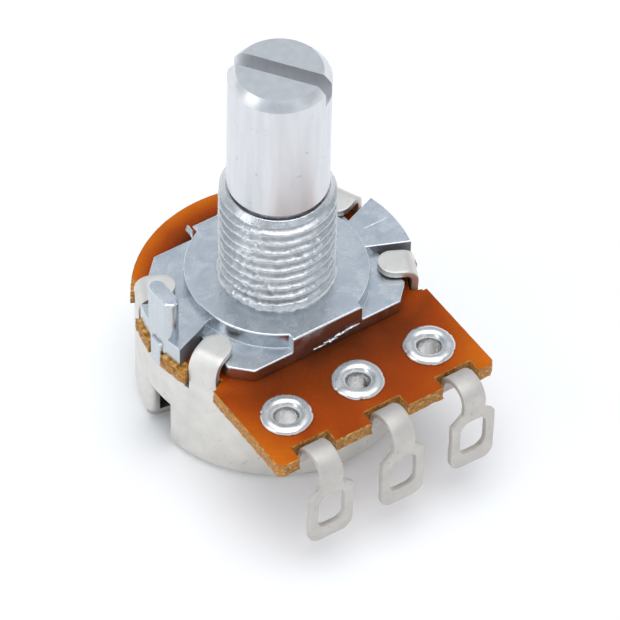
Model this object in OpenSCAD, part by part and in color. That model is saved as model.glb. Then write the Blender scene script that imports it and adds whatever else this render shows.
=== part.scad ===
// Panel-mount rotary potentiometer: slotted shaft in a threaded bushing, die-cast mounting
// plate, phenolic element wafer with three riveted solder terminals, pressed steel can.
// Millimetres. Origin on the shaft axis at the mounting face; +Z runs out along the shaft,
// the terminals stand in a row along X on the -Y side.

/* [Shaft] */
// Diameter of the knob end of the shaft
shaft_d = 6; // [4:0.1:6.4]
// Height of the shaft's end above the mounting face
shaft_end_z = 16.2; // [12:0.1:30]
// Diameter of the neck that turns in the bushing
neck_d = 4.8; // [3.6:0.1:5]
// Gap between the shaft's shoulder and the end of the bushing
shoulder_gap = 0.3; // [0.1:0.05:1]
// Height of the chamfer round the shaft's end
shaft_chamfer_h = 0.55; // [0.2:0.05:1.2]
// Width of the chamfer round the shaft's end, measured inwards
shaft_chamfer_w = 0.48; // [0.2:0.02:0.8]
// Width of the screwdriver slot
slot_w = 1; // [0.6:0.1:1.4]
// Depth of the screwdriver slot
slot_depth = 1.45; // [0.8:0.05:2.5]
// Angle that the shaft has turned from the middle of its travel
shaft_turn = 36; // [-150:1:150]

/* [Bushing and mounting plate] */
// Outer diameter of the bushing's thread
bushing_d = 7; // [6.6:0.1:9]
// Length of the bushing above the mounting face
bushing_len = 7; // [4:0.5:10]
// Chamfer at the end of the bushing
bushing_chamfer = 0.5; // [0.1:0.05:0.6]
// Diameter of the round boss whose top is the mounting face
boss_d = 10.96; // [10:0.02:11.8]
// Height of the boss above the plate
boss_h = 1.1; // [0.8:0.05:2]
// Width of the square pads at the front and rear of the boss
boss_pad_w = 4.8; // [3:0.1:6]
// Thickness of the plate
plate_t = 0.9; // [0.6:0.05:1.5]
// Distance from the can's outer radius in to each side edge of the plate
plate_side_inset = 2.13; // [1.6:0.01:2.3]
// Distance from the can's outer radius in to the plate's front and rear edges
plate_end_inset = 2.95; // [2.5:0.01:3.2]
// Chamfer across each corner of the plate
plate_corner = 1.15; // [0.5:0.05:1.8]
// Height of the two side wings above the plate
wing_rise = 0.55; // [0.2:0.05:0.8]
// Half width of a wing where it meets the plate's side edge
wing_half_w = 1.42; // [1:0.02:1.6]
// Angle by which each side of a wing spreads outwards
wing_spread = 23; // [10:1:26]

/* [Locating lug and leg] */
// Height of the locating lug above the mounting face
lug_h = 2.3; // [1:0.1:4]
// Width of the locating lug, across the plate's side
lug_w = 2.4; // [1.5:0.1:3]
// Thickness of the locating lug, along the radius
lug_t = 1; // [0.6:0.05:1.4]
// Radius of the locating lug's upright corners
lug_corner_r = 0.35; // [0.1:0.05:0.45]
// Width of the leg that keys the plate to the wafer and the can
leg_w = 1.25; // [0.8:0.05:1.8]
// Thickness of that leg, along the radius
leg_t = 0.45; // [0.3:0.05:0.8]
// Depth to which the leg reaches into the can's rim
leg_into_can = 0.15; // [0.05:0.05:0.5]

/* [Wafer] */
// Thickness of the phenolic wafer
wafer_t = 1; // [0.6:0.05:1.6]
// Distance by which the wafer's round edge stands out past the can
wafer_overhang = 0.26; // [0.05:0.01:0.5]
// Distance from the outer rivets out to each side of the apron that carries them
apron_side = 2.55; // [1.8:0.05:3]
// Distance from the row of rivets out to the apron's front edge
apron_front = 3.16; // [2.8:0.02:5]
// Distance from the shaft axis to the apron's rear shoulders
apron_shoulder = 4.7; // [4.2:0.1:6]
// Chamfer on the apron's front corners
apron_corner = 0.3; // [0.1:0.05:1]
// Diameter of the wafer's centre hole
wafer_hole_d = 7.8; // [7.2:0.1:8]
// Width of each terminal notch in the apron's front edge
notch_w = 2.45; // [1.8:0.05:3]
// Distance from a terminal's riser out to the apron's front edge
notch_cover = 0.55; // [0.2:0.05:0.8]
// Distance by which the notches are offset along the row
notch_shift = 0.12; // [0:0.01:0.3]

/* [Can] */
// Outer diameter of the can
can_d = 16.76; // [16:0.02:20.2]
// Height of the can's wall, from its rim to its base
can_h = 6.6; // [6:0.1:9]
// Thickness of the can's sheet steel
can_t = 0.4; // [0.3:0.05:0.5]
// Outer radius of the bend round the can's base
can_bend_r = 0.8; // [0.6:0.05:1.2]
// Depth to which the rim is cut down in front, under the terminals
rim_relief = 1; // [0.8:0.05:1.4]
// Angle from the front to each end of that cut
relief_half_angle = 53; // [48:1:56]
// Width of each fold-over tab
tab_w = 1.85; // [1.2:0.05:2.4]
// Angle of each tab from the side of the can
tab_angle = 25.5; // [22:0.5:30]
// Gap between each folded tab's tip and the boss
tab_boss_gap = 0.55; // [0.2:0.05:0.9]
// Outer radius of each tab's fold
tab_bend_r = 0.75; // [0.5:0.05:0.9]
// Width of the small relief cut on each side of a tab
tab_relief_w = 0.55; // [0.3:0.05:0.9]
// Depth of the small relief cut on each side of a tab
tab_relief_h = 0.6; // [0.3:0.05:1]

/* [Stop tongue] */
// Angle round the can of the stop window's hinge edge
stop_angle = 171; // [160:1:180]
// Angle that the stop window spans
stop_span = 18; // [12:1:26]
// Height of the stop window above the can's base
stop_window_h = 3.65; // [2.5:0.05:4.4]
// Length by which the stop tongue reaches into the can
stop_reach = 1.15; // [1:0.05:1.6]
// Angle by which the tongue leans away from the window
stop_lean = 15; // [0:1:25]
// Depth of the window's notch in the can's base, along the radius
stop_notch = 1.8; // [1.2:0.1:2.4]

/* [Terminals and rivets] */
// Distance between neighbouring terminals
pitch = 5; // [4.6:0.1:5.2]
// Distance from the can's outer radius out to the row of rivets
rivet_setback = 0.26; // [0:0.02:0.6]
// Thickness of the terminal strip
strip_t = 0.4; // [0.3:0.05:0.5]
// Width of a terminal's neck
neck_w = 1.5; // [1:0.1:2]
// Radius of the round pad under each rivet
pad_r = 1.5; // [1.2:0.05:1.7]
// Outer radius of the bend that carries the terminal over and down
hook_r = 1.35; // [1:0.05:1.8]
// Height of that bend's centre above the wafer's underside
hook_rise = 0.25; // [0:0.05:0.6]
// Width of the solder lug
solder_w = 3; // [2.4:0.1:3.6]
// Depth of the solder lug's lower end below the wafer
solder_drop = 4.75; // [4.4:0.05:5.6]
// Length of the solder lug's full-width part
solder_len = 3.75; // [3.2:0.05:4.2]
// Height of the sloping shoulders above it
shoulder_h = 0.7; // [0.4:0.05:1]
// Radius of the lug's lower corners
solder_corner_r = 0.8; // [0.3:0.05:1]
// Width of the wire hole
wire_hole_w = 1.75; // [1.2:0.05:2]
// Length of the wire hole
wire_hole_len = 2.65; // [2:0.05:2.9]
// Corner radius of the wire hole
wire_hole_r = 0.6; // [0.3:0.05:0.8]
// Distance from the wire hole to the lug's lower end
wire_hole_margin = 1.05; // [0.8:0.05:1.3]
// Outer radius of a rivet's rolled head
rivet_head_r = 1.58; // [1.3:0.02:1.7]
// Height of a rivet's rolled head
rivet_head_h = 0.32; // [0.2:0.02:0.5]
// Outer radius of a rivet's barrel
rivet_r = 1; // [0.8:0.05:1.1]
// Radius of a rivet's hole
rivet_hole_r = 0.7; // [0.5:0.05:0.75]
// Height of the clinched end under the terminal
clinch_h = 0.22; // [0.15:0.01:0.3]

/* [Element] */
// Thickness of the printed layers
print_t = 0.05; // [0.02:0.01:0.1]
// Inner radius of the carbon track
track_in_r = 5.5; // [5.3:0.05:5.8]
// Outer radius of the carbon track
track_out_r = 6.9; // [6.6:0.05:7.1]
// Angle from the front to each end of the carbon track
track_half_gap = 42; // [38:1:46]
// Inner radius of the collector ring
collector_in_r = 4.1; // [4.05:0.05:4.2]
// Outer radius of the collector ring
collector_out_r = 4.95; // [4.7:0.05:5.1]
// Width of the collector's arm to the middle terminal
collector_arm_w = 1.4; // [1:0.1:2]
// Angle that each silver end pad spans
end_pad_span = 14; // [8:1:16]

/* [Rotor and wiper] */
// Full electrical and mechanical travel
travel = 300; // [240:5:300]
// Radius of the rotor's disc
rotor_r = 6.7; // [6:0.1:6.8]
// Thickness of the rotor's disc
rotor_t = 1; // [0.6:0.1:1.4]
// Radius of the rotor's hub
hub_r = 2.9; // [2.6:0.05:3]
// Gap between the wafer's underside and the rotor's disc
wiper_room = 1.3; // [1:0.05:1.6]
// Height of the rotor, from its disc's top face to its lower end
rotor_h = 2.8; // [2.2:0.1:3.2]
// Thickness of the wiper's spring sheet
spring_t = 0.15; // [0.1:0.01:0.2]
// Distance along which each wiper arm rises to its contact
arm_len = 1.8; // [1.4:0.1:2.2]
// Thickness of the shaft's retaining ring
ring_t = 0.5; // [0.3:0.05:0.6]
// Outer radius of the retaining ring
ring_r = 3.3; // [2.9:0.05:3.4]
// Angle of the opening in the retaining ring
ring_opening = 70; // [40:5:100]

/* [Fits] */
// Radial running clearance between neck and bushing
running_gap = 0.03; // [0.02:0.01:0.08]
// Clearance of a fixed piece in its hole or notch
fixed_gap = 0.05; // [0.02:0.01:0.1]
// Gap between a moving contact and the layer that it slides on
contact_gap = 0.02; // [0.01:0.01:0.05]
// Gap between a folded tab and the plate under it
fold_gap = 0.1; // [0.05:0.05:0.3]
// Angle left between the rotor's stop and the tongue at each end of the travel
stop_gap = 1.5; // [0.5:0.5:4]

/* [Hidden] */

$fn = 72;
// Overlap that lets one solid cut or join another cleanly
bite = 0.5;

// Levels, from the mounting face down
plate_top_z = -boss_h;
plate_bottom_z = plate_top_z - plate_t;
wafer_bottom_z = plate_bottom_z - wafer_t;
print_z = wafer_bottom_z - print_t;
strip_bottom_z = print_z - strip_t;
can_base_z = wafer_bottom_z - can_h;
disc_top_z = wafer_bottom_z - wiper_room;
disc_bottom_z = disc_top_z - rotor_t;
rotor_bottom_z = disc_top_z - rotor_h;
hub_top_z = (wafer_bottom_z + disc_top_z) / 2;

// Plan sizes
can_r = can_d / 2;
can_in_r = can_r - can_t;
plate_half_w = can_r - plate_side_inset;
plate_half_len = can_r - plate_end_inset;
wafer_r = can_r + wafer_overhang;
rivet_row = can_r + rivet_setback;
apron_half_w = pitch + apron_side;
apron_reach = rivet_row + apron_front;
notch_depth = strip_t + notch_cover;
riser_y = apron_reach - notch_depth + fixed_gap;
hook_y = riser_y + hook_r;
hook_z = wafer_bottom_z + hook_rise;
solder_z = wafer_bottom_z - solder_drop;
neck_r = neck_d / 2;
bore_r = neck_r + running_gap;
shoulder_z = bushing_len + shoulder_gap;

// Retaining ring in its groove under the plate
groove_r = neck_r - 0.55;
ring_top_z = plate_bottom_z - fixed_gap;
ring_bottom_z = ring_top_z - ring_t;

// Drive flats between the shaft's tail and the rotor
tail_r = neck_r - 0.4;
flat_half_w = tail_r * 0.75;
tail_head_h = 0.4;

// Rotor stop: what is left of the circle after the travel, the tongue and the end gaps
tongue_angle = 6;
stop_block_dir = stop_angle - tongue_angle / 2 - 180;
stop_block_angle = 360 - travel - tongue_angle - 2 * stop_gap;
stop_block_r = can_in_r - 0.35;
stop_block_bottom_z = can_base_z + can_t + 0.7;

// A flat outline in Y and Z, extruded along X about the middle
module along_x(w) {
    rotate([90, 0, 90]) linear_extrude(w, center = true) children();
}

// An upright rectangle from corner a to corner b
module box2(a, b) {
    translate([min(a[0], b[0]), min(a[1], b[1])]) square([abs(b[0] - a[0]), abs(b[1] - a[1])]);
}

// A flat ring
module ring2(r_out, r_in) {
    difference() {
        circle(r_out);
        circle(r_in);
    }
}

// A rectangle of size w by h, centred, with rounded corners
module round_rect2(w, h, r) {
    square([w - 2 * r, h], center = true);
    square([w, h - 2 * r], center = true);
    for (sx = [-1, 1], sy = [-1, 1])
        translate([sx * (w / 2 - r), sy * (h / 2 - r)]) circle(r);
}

// A pie slice about direction dir, spanning angle span (under 180), out to radius r
module slice2(dir, span, r) {
    reach = r / cos(span / 2);
    rotate(dir)
        polygon([[0, 0], [reach * cos(span / 2), -reach * sin(span / 2)],
            [reach * cos(span / 2), reach * sin(span / 2)]]);
}

// Extrude an outline between two heights
module between(z_low, z_high) {
    translate([0, 0, z_low]) linear_extrude(z_high - z_low) children();
}

// The plate's outline with its four chamfered corners
module plate2() {
    polygon([for (s = [[1, 1], [-1, 1], [-1, -1], [1, -1]])
        for (k = s[0] * s[1] > 0 ? [0, 1] : [1, 0])
            [s[0] * (plate_half_w - k * plate_corner), s[1] * (plate_half_len - (1 - k) * plate_corner)]]);
}

// One side wing, spreading outwards to the can's radius
module wing2() {
    inner_x = boss_d / 2 - bite;
    outer_x = can_r + bite;
    half_in = wing_half_w + (inner_x - plate_half_w) * tan(wing_spread);
    half_out = wing_half_w + (outer_x - plate_half_w) * tan(wing_spread);
    intersection() {
        circle(can_r);
        polygon([[inner_x, -half_in], [outer_x, -half_out], [outer_x, half_out], [inner_x, half_in]]);
    }
}

// The leg's outline on the -X side, grown by a clearance
module leg2(gap) {
    box2([-can_r - bite, -leg_w / 2 - gap], [-can_r + leg_t + gap, leg_w / 2 + gap]);
}

module bushing_body() {
    cylinder(h = bushing_len - bushing_chamfer, d = bushing_d);
    translate([0, 0, bushing_len - bushing_chamfer])
        cylinder(h = bushing_chamfer, d1 = bushing_d, d2 = bushing_d - 2 * bushing_chamfer);
}

module front_plate() {
    color("#AEB6C0") difference() {
        union() {
            bushing_body();
            between(plate_top_z - bite, 0) intersection() {
                union() {
                    circle(d = boss_d);
                    square([boss_pad_w, 2 * plate_half_len], center = true);
                }
                square([boss_d + 1, 2 * plate_half_len], center = true);
            }
            between(plate_bottom_z, plate_top_z) plate2();
            for (side = [0, 180])
                rotate(side) between(plate_bottom_z, plate_top_z + wing_rise) wing2();
            between(plate_bottom_z, lug_h) intersection() {
                circle(can_r);
                translate([-can_r + lug_t / 2, 0])
                    round_rect2(lug_t, lug_w, lug_corner_r);
            }
            between(wafer_bottom_z - leg_into_can, plate_bottom_z + bite) intersection() {
                circle(can_r);
                leg2(0);
            }
        }
        between(plate_bottom_z - 1, bushing_len + 1) circle(bore_r);
    }
}

// The shaft's tail outline, with its two drive flats
module tail2(gap) {
    intersection() {
        circle(tail_r + gap);
        square([2 * (flat_half_w + gap), 2 * tail_r + 1], center = true);
    }
}

module shaft() {
    head_z = shaft_end_z - shaft_chamfer_h;
    color("#D0D3D7") rotate(shaft_turn) difference() {
        union() {
            between(shoulder_z, head_z) circle(d = shaft_d);
            translate([0, 0, head_z])
                cylinder(h = shaft_chamfer_h, d1 = shaft_d, d2 = shaft_d - 2 * shaft_chamfer_w);
            between(ring_top_z, shoulder_z) circle(neck_r);
            between(ring_bottom_z - fixed_gap, ring_top_z) circle(groove_r);
            between(hub_top_z, ring_bottom_z - fixed_gap) circle(neck_r);
            between(rotor_bottom_z, hub_top_z) tail2(0);
            between(rotor_bottom_z - tail_head_h, rotor_bottom_z) circle(tail_r + 0.3);
        }
        between(shaft_end_z - slot_depth, shaft_end_z + 1)
            square([slot_w, shaft_d + 1], center = true);
    }
}

module retaining_ring() {
    color("#8A8D90") rotate(shaft_turn) between(ring_bottom_z, ring_top_z) difference() {
        ring2(ring_r, groove_r + fixed_gap);
        slice2(0, ring_opening, ring_r + 1);
    }
}

module rotor() {
    color("#2E2C2A") rotate(shaft_turn) difference() {
        union() {
            between(disc_bottom_z, disc_top_z) circle(rotor_r);
            between(rotor_bottom_z, hub_top_z) circle(hub_r);
            between(stop_block_bottom_z, disc_top_z) intersection() {
                ring2(stop_block_r, rotor_r - 1.2);
                slice2(stop_block_dir, stop_block_angle, can_r);
            }
        }
        between(rotor_bottom_z - 1, hub_top_z + 1) tail2(fixed_gap / 2);
    }
}

// One spring arm of the wiper, rising along +X to its rounded contact
module wiper_arm(width) {
    tip_r = spring_t;
    tip_z = print_z - contact_gap - tip_r;
    start_x = 0.7;
    rotate([90, 0, 0]) linear_extrude(width, center = true) {
        polygon([[start_x, disc_top_z], [start_x, disc_top_z + spring_t],
            [start_x + arm_len, tip_z + spring_t / 2], [start_x + arm_len, tip_z - spring_t / 2]]);
        translate([start_x + arm_len, tip_z]) circle(tip_r);
    }
}

module wiper() {
    arm_w = 0.5;
    track_arm_y = (track_in_r + track_out_r) / 2 - 0.5;
    collector_arm_y = (collector_in_r + collector_out_r) / 2 - 0.5;
    color("#C9A24B") rotate(shaft_turn) {
        between(disc_top_z, disc_top_z + spring_t) {
            ring2(hub_r + 0.9, hub_r + fixed_gap);
            box2([-1, hub_r + 0.4], [1, track_arm_y + arm_w / 2]);
        }
        translate([0, track_arm_y, 0]) wiper_arm(arm_w);
        translate([0, collector_arm_y, 0]) mirror([1, 0, 0]) wiper_arm(arm_w);
    }
}

// The upright slots in the wafer's edge for the can's tabs
module tab_slots2() {
    slot_width = tab_w + 4 * fixed_gap;
    for (side = [0, 180], s = [-1, 1])
        rotate(side + s * tab_angle)
            translate([can_in_r - 3 * fixed_gap, -slot_width / 2]) square([can_t + 3, slot_width]);
}

module wafer() {
    color("#B4540F") difference() {
        between(wafer_bottom_z, plate_bottom_z) difference() {
            union() {
                circle(wafer_r);
                polygon([[-apron_half_w, -apron_shoulder], [-apron_half_w, -apron_reach + apron_corner],
                    [-apron_half_w + apron_corner, -apron_reach], [apron_half_w - apron_corner, -apron_reach],
                    [apron_half_w, -apron_reach + apron_corner], [apron_half_w, -apron_shoulder]]);
            }
            circle(d = wafer_hole_d);
            tab_slots2();
            leg2(fixed_gap);
            for (k = [-1, 0, 1]) {
                translate([k * pitch + notch_shift - notch_w / 2, -apron_reach - 1])
                    square([notch_w, notch_depth + 1]);
                translate([k * pitch, -rivet_row]) circle(rivet_r + fixed_gap);
            }
        }
    }
}

// The hole for rivet k through the printed layers
module rivet_hole2(k) {
    translate([k * pitch, -rivet_row]) circle(rivet_r + fixed_gap);
}

module carbon_track() {
    color("#26231F") between(print_z, wafer_bottom_z) difference() {
        ring2(track_out_r, track_in_r);
        slice2(-90, 2 * track_half_gap, track_out_r + 1);
    }
}

module collector_ring() {
    color("#C9CBCC") between(print_z, wafer_bottom_z) difference() {
        union() {
            ring2(collector_out_r, collector_in_r);
            box2([-collector_arm_w / 2, -rivet_row], [collector_arm_w / 2, -collector_out_r + 0.2]);
            translate([0, -rivet_row]) circle(pad_r);
        }
        rivet_hole2(0);
    }
}

// Silver pad that joins one end of the track (side -1 or 1) to its outer terminal
module end_pad(side) {
    mid_angle = track_half_gap - end_pad_span / 2;
    start = [side * pitch, -rivet_row];
    run = [side * track_out_r * sin(mid_angle), -track_out_r * cos(mid_angle)] - start;
    run_w = 0.9;
    color("#C9CBCC") between(print_z, wafer_bottom_z) difference() {
        union() {
            intersection() {
                ring2(track_out_r + 0.6, track_in_r);
                slice2(-90 + side * mid_angle, end_pad_span, can_r);
            }
            translate(start) circle(pad_r);
            translate(start) rotate(atan2(run[1], run[0])) translate([0, -run_w / 2])
                square([norm(run), run_w]);
        }
        rivet_hole2(side);
    }
}

module end_pad_left() { end_pad(-1); }

module end_pad_right() { end_pad(1); }

// The terminal's bent strip as seen from the side: Y to the left, Z up
module strip2() {
    inner_r = hook_r - strip_t;
    elbow_r = strip_t + 0.1;
    translate([-hook_y, hook_z]) intersection() {
        ring2(hook_r, inner_r);
        translate([-hook_r - 1, 0]) square([2 * hook_r + 2, hook_r + 1]);
    }
    box2([-hook_y - hook_r, solder_z + solder_len + shoulder_h], [-hook_y - inner_r, hook_z]);
    box2([-riser_y - strip_t, strip_bottom_z + elbow_r], [-riser_y, hook_z]);
    box2([-riser_y - strip_t + elbow_r, strip_bottom_z], [-rivet_row, print_z]);
    translate([-riser_y - strip_t + elbow_r, strip_bottom_z + elbow_r]) intersection() {
        ring2(elbow_r, elbow_r - strip_t);
        translate([-elbow_r, -elbow_r]) square(elbow_r);
    }
}

// The solder lug's face: X across, Z up
module solder_lug2() {
    top_z = solder_z + solder_len;
    half = solder_w / 2;
    hole_z = solder_z + wire_hole_margin + wire_hole_len / 2;
    difference() {
        union() {
            box2([-half, solder_z + solder_corner_r], [half, top_z]);
            box2([-half + solder_corner_r, solder_z], [half - solder_corner_r, top_z]);
            for (s = [-1, 1])
                translate([s * (half - solder_corner_r), solder_z + solder_corner_r])
                    circle(solder_corner_r);
            polygon([[-half, top_z], [half, top_z], [neck_w / 2, top_z + shoulder_h],
                [-neck_w / 2, top_z + shoulder_h]]);
        }
        translate([0, hole_z]) round_rect2(wire_hole_w, wire_hole_len, wire_hole_r);
    }
}

module terminal(k) {
    color("#D9D9D5") translate([k * pitch, 0, 0]) difference() {
        union() {
            along_x(neck_w) strip2();
            translate([0, -hook_y - hook_r + strip_t, 0]) rotate([90, 0, 0])
                linear_extrude(strip_t) solder_lug2();
            between(strip_bottom_z, print_z) translate([0, -rivet_row]) circle(pad_r);
        }
        between(strip_bottom_z - 1, print_z + 1)
            translate([0, -rivet_row]) circle(rivet_r + fixed_gap);
    }
}

module terminal_left() { terminal(-1); }

module terminal_centre() { terminal(0); }

module terminal_right() { terminal(1); }

// Domed section of a rolled rivet flange, sitting on height zero
module rolled_flange2(r_out, r_in, h) {
    half = (r_out - r_in) / 2;
    dome_r = (half * half + h * h) / (2 * h);
    intersection() {
        translate([r_in + half, h - dome_r]) circle(dome_r);
        box2([r_in - 1, 0], [r_out + 1, h + 1]);
    }
}

module rivet(k) {
    color("#DDDEDC") translate([k * pitch, -rivet_row, 0]) rotate_extrude() {
        box2([rivet_hole_r, strip_bottom_z - bite / 10], [rivet_r, plate_bottom_z + bite / 10]);
        translate([0, plate_bottom_z]) rolled_flange2(rivet_head_r, rivet_hole_r, rivet_head_h);
        translate([0, strip_bottom_z]) mirror([0, 1])
            rolled_flange2(rivet_head_r - 0.15, rivet_hole_r, clinch_h);
    }
}

module rivet_left() { rivet(-1); }

module rivet_centre() { rivet(0); }

module rivet_right() { rivet(1); }

// The can's shell, as half a section
module can_section2() {
    difference() {
        can_solid2(can_r, can_base_z, can_bend_r);
        can_solid2(can_in_r, can_base_z + can_t, can_bend_r - can_t);
        box2([-1, can_base_z + can_t], [can_in_r - can_bend_r, wafer_bottom_z + 1]);
    }
}

// Half section of a solid can of radius r standing at height z, with a bend of radius bend
module can_solid2(r, z, bend) {
    box2([0, z], [r - bend, wafer_bottom_z]);
    box2([0, z + bend], [r, wafer_bottom_z]);
    translate([r - bend, z + bend]) circle(bend);
}

// One fold-over tab, standing at the +X side and folded inwards over the plate
module tab() {
    fold_bottom_z = plate_top_z + fold_gap;
    fold_top_z = fold_bottom_z + can_t;
    out_r = can_r - 0.03;
    tip_x = boss_d / 2 + tab_boss_gap;
    tip_r = tab_w / 2;
    rotate([90, 0, 0]) linear_extrude(tab_w, center = true) {
        box2([out_r - can_t, wafer_bottom_z - bite], [out_r, fold_top_z - tab_bend_r]);
        translate([out_r - tab_bend_r, fold_top_z - tab_bend_r]) intersection() {
            ring2(tab_bend_r, tab_bend_r - can_t);
            square(tab_bend_r);
        }
    }
    between(fold_bottom_z, fold_top_z) {
        box2([tip_x + tip_r, -tip_r], [out_r - tab_bend_r, tip_r]);
        translate([tip_x + tip_r, 0]) circle(tip_r);
    }
}

// The cuts in the can's rim: the front relief, the leg's notch and a nick beside each tab
module rim_cuts() {
    between(wafer_bottom_z - rim_relief, wafer_bottom_z + 1)
        slice2(-90, 2 * relief_half_angle, can_r + 1);
    between(wafer_bottom_z - leg_into_can - fixed_gap, wafer_bottom_z + 1) leg2(fixed_gap);
    for (side = [0, 180], s = [-1, 1], edge = [-1, 1])
        rotate(side + s * tab_angle)
            translate([can_in_r - 1, edge * (tab_w + tab_relief_w) / 2 - tab_relief_w / 2,
                wafer_bottom_z - tab_relief_h])
                cube([can_t + 2, tab_relief_w, tab_relief_h + 1]);
}

// The stop window: a cut through the wall and into the base's edge
module stop_window() {
    between(can_base_z - 1, can_base_z + stop_window_h) difference() {
        slice2(stop_angle + stop_span / 2, stop_span, can_r + 1);
        circle(can_r - stop_notch);
    }
}

// The tongue lanced from the stop window, folded inwards along its hinge edge
module stop_tongue() {
    hinge_r = can_r - can_t / 2;
    between(can_base_z + can_t + 0.1, can_base_z + stop_window_h - 0.1)
        rotate(stop_angle) translate([hinge_r, 0]) rotate(stop_lean)
            box2([-stop_reach, -can_t], [0, 0]);
}

module rear_cover() {
    color("#DAD9D5") {
        difference() {
            rotate_extrude() can_section2();
            rim_cuts();
            stop_window();
        }
        stop_tongue();
        for (side = [0, 180], s = [-1, 1])
            rotate(side + s * tab_angle) tab();
    }
}

front_plate();
shaft();
retaining_ring();
rotor();
wiper();
wafer();
carbon_track();
collector_ring();
end_pad_left();
end_pad_right();
terminal_left();
terminal_centre();
terminal_right();
rivet_left();
rivet_centre();
rivet_right();
rear_cover();
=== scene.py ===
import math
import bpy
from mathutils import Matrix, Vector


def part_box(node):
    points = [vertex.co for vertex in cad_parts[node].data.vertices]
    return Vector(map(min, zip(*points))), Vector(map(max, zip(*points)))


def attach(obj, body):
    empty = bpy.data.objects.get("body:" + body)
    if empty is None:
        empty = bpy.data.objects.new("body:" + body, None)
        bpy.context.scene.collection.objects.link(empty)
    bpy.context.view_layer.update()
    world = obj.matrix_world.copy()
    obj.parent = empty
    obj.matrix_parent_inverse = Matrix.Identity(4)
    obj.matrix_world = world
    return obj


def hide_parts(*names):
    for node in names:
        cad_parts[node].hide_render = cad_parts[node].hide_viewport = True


bl_info = {
    "name": "Panel potentiometer",
    "version": (1, 0, 0),
    "blender": (4, 5, 0),
    "location": "3D View > Sidebar > Potentiometer",
    "description": "Builds a rotary potentiometer with a slotted shaft, and its studio",
    "category": "Object",
}

import bmesh
import bpy
import numpy as np
from bpy.props import FloatProperty, FloatVectorProperty, PointerProperty
from mathutils import Matrix, Vector, noise

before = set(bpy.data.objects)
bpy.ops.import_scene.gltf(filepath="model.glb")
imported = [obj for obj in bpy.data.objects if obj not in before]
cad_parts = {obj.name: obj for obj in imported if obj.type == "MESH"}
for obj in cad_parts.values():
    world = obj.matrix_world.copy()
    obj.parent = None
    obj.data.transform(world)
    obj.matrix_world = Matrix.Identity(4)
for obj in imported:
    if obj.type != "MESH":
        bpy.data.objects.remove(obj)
MM = 0.001


def level(node, end):
    """Height in millimetres of a node's lower (0) or upper (1) end in the frame."""
    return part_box(node)[end].z / MM


PLATE_BOTTOM = level("wafer", 1)
WAFER_BOTTOM = level("wafer", 0)
CAN_BASE = level("rear_cover", 0)
SHAFT_END = level("shaft", 1)
SHAFT_TAIL = level("shaft", 0)
# The shaft's tail is headed over the rotor
ROTOR_BOTTOM = SHAFT_TAIL + 0.4
RING_TOP = level("retaining_ring", 1)
RING_BOTTOM = level("retaining_ring", 0)
# The terminals' strips lie just under the wafer
STRIP_BOTTOM = WAFER_BOTTOM - 0.45


def linear(text):
    """Linear colour of an sRGB hex value."""
    parts = [int(text[i : i + 2], 16) / 255 for i in (1, 3, 5)]
    return tuple(
        c / 12.92 if c <= 0.04045 else ((c + 0.055) / 1.055) ** 2.4 for c in parts
    ) + (1.0,)


def size(name, description, millimetres):
    """A length that a user can change, given in millimetres."""
    return FloatProperty(
        name=name, description=description, default=millimetres * MM, min=0, precision=5,
        unit="LENGTH",
    )


def angle(name, description, degrees):
    """An angle that a user can change, given in degrees."""
    return FloatProperty(
        name=name, description=description, default=math.radians(degrees), subtype="ANGLE",
    )


def tint(name, description, text):
    """A colour that a user can change, given as an sRGB hex value."""
    return FloatVectorProperty(
        name=name, description=description, default=linear(text), size=4, min=0, max=1,
        subtype="COLOR",
    )


class ShaftSizes(bpy.types.PropertyGroup):
    diameter: size("Diameter", "Diameter of the knob end", 6.0)
    chamfer_height: size("Chamfer height", "Height of the chamfer round the end", 0.55)
    chamfer_width: size("Chamfer width", "Width of the chamfer, measured inwards", 0.48)
    slot_width: size("Slot width", "Width of the screwdriver slot", 1.0)
    slot_depth: size("Slot depth", "Depth of the screwdriver slot", 1.45)
    neck: size("Neck diameter", "Diameter of the neck that turns in the bushing", 4.8)
    turn: angle("Turn", "How far the shaft has turned from mid travel", 36)


class CastingSizes(bpy.types.PropertyGroup):
    thread_diameter: size("Thread diameter", "Outer diameter of the bushing's thread", 7.0)
    thread_pitch: size("Thread pitch", "Rise of the thread in one turn", 0.75)
    thread_depth: size("Thread depth", "Depth of the thread's groove", 0.43)
    bushing_length: size("Bushing length", "Length of the bushing above the boss", 7.0)
    bore: size("Bore", "Diameter of the bushing's bore", 4.86)
    boss_diameter: size("Boss diameter", "Diameter of the round boss", 10.96)
    boss_height: size("Boss height", "Height of the boss above the plate", 1.1)
    pad_width: size("Pad width", "Width of the square pads on the boss", 4.8)
    half_width: size("Plate half width", "From the axis to the plate's side edges", 6.25)
    half_length: size("Plate half length", "From the axis to the front and rear edges", 5.43)
    corner: size("Plate corner", "Chamfer across each corner of the plate", 1.15)
    wing_rise: size("Wing rise", "Height of the side wings above the plate", 0.55)
    wing_half_width: size("Wing half width", "Half width of a wing at the plate's edge", 1.42)
    wing_spread: angle("Wing spread", "Angle by which each side of a wing spreads", 23)
    lug_height: size("Lug height", "Height of the locating lug above the boss", 2.3)
    lug_width: size("Lug width", "Width of the locating lug", 2.4)
    lug_thickness: size("Lug thickness", "Thickness of the locating lug", 1.0)
    leg_width: size("Leg width", "Width of the leg that keys into the wafer", 1.1)


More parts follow.
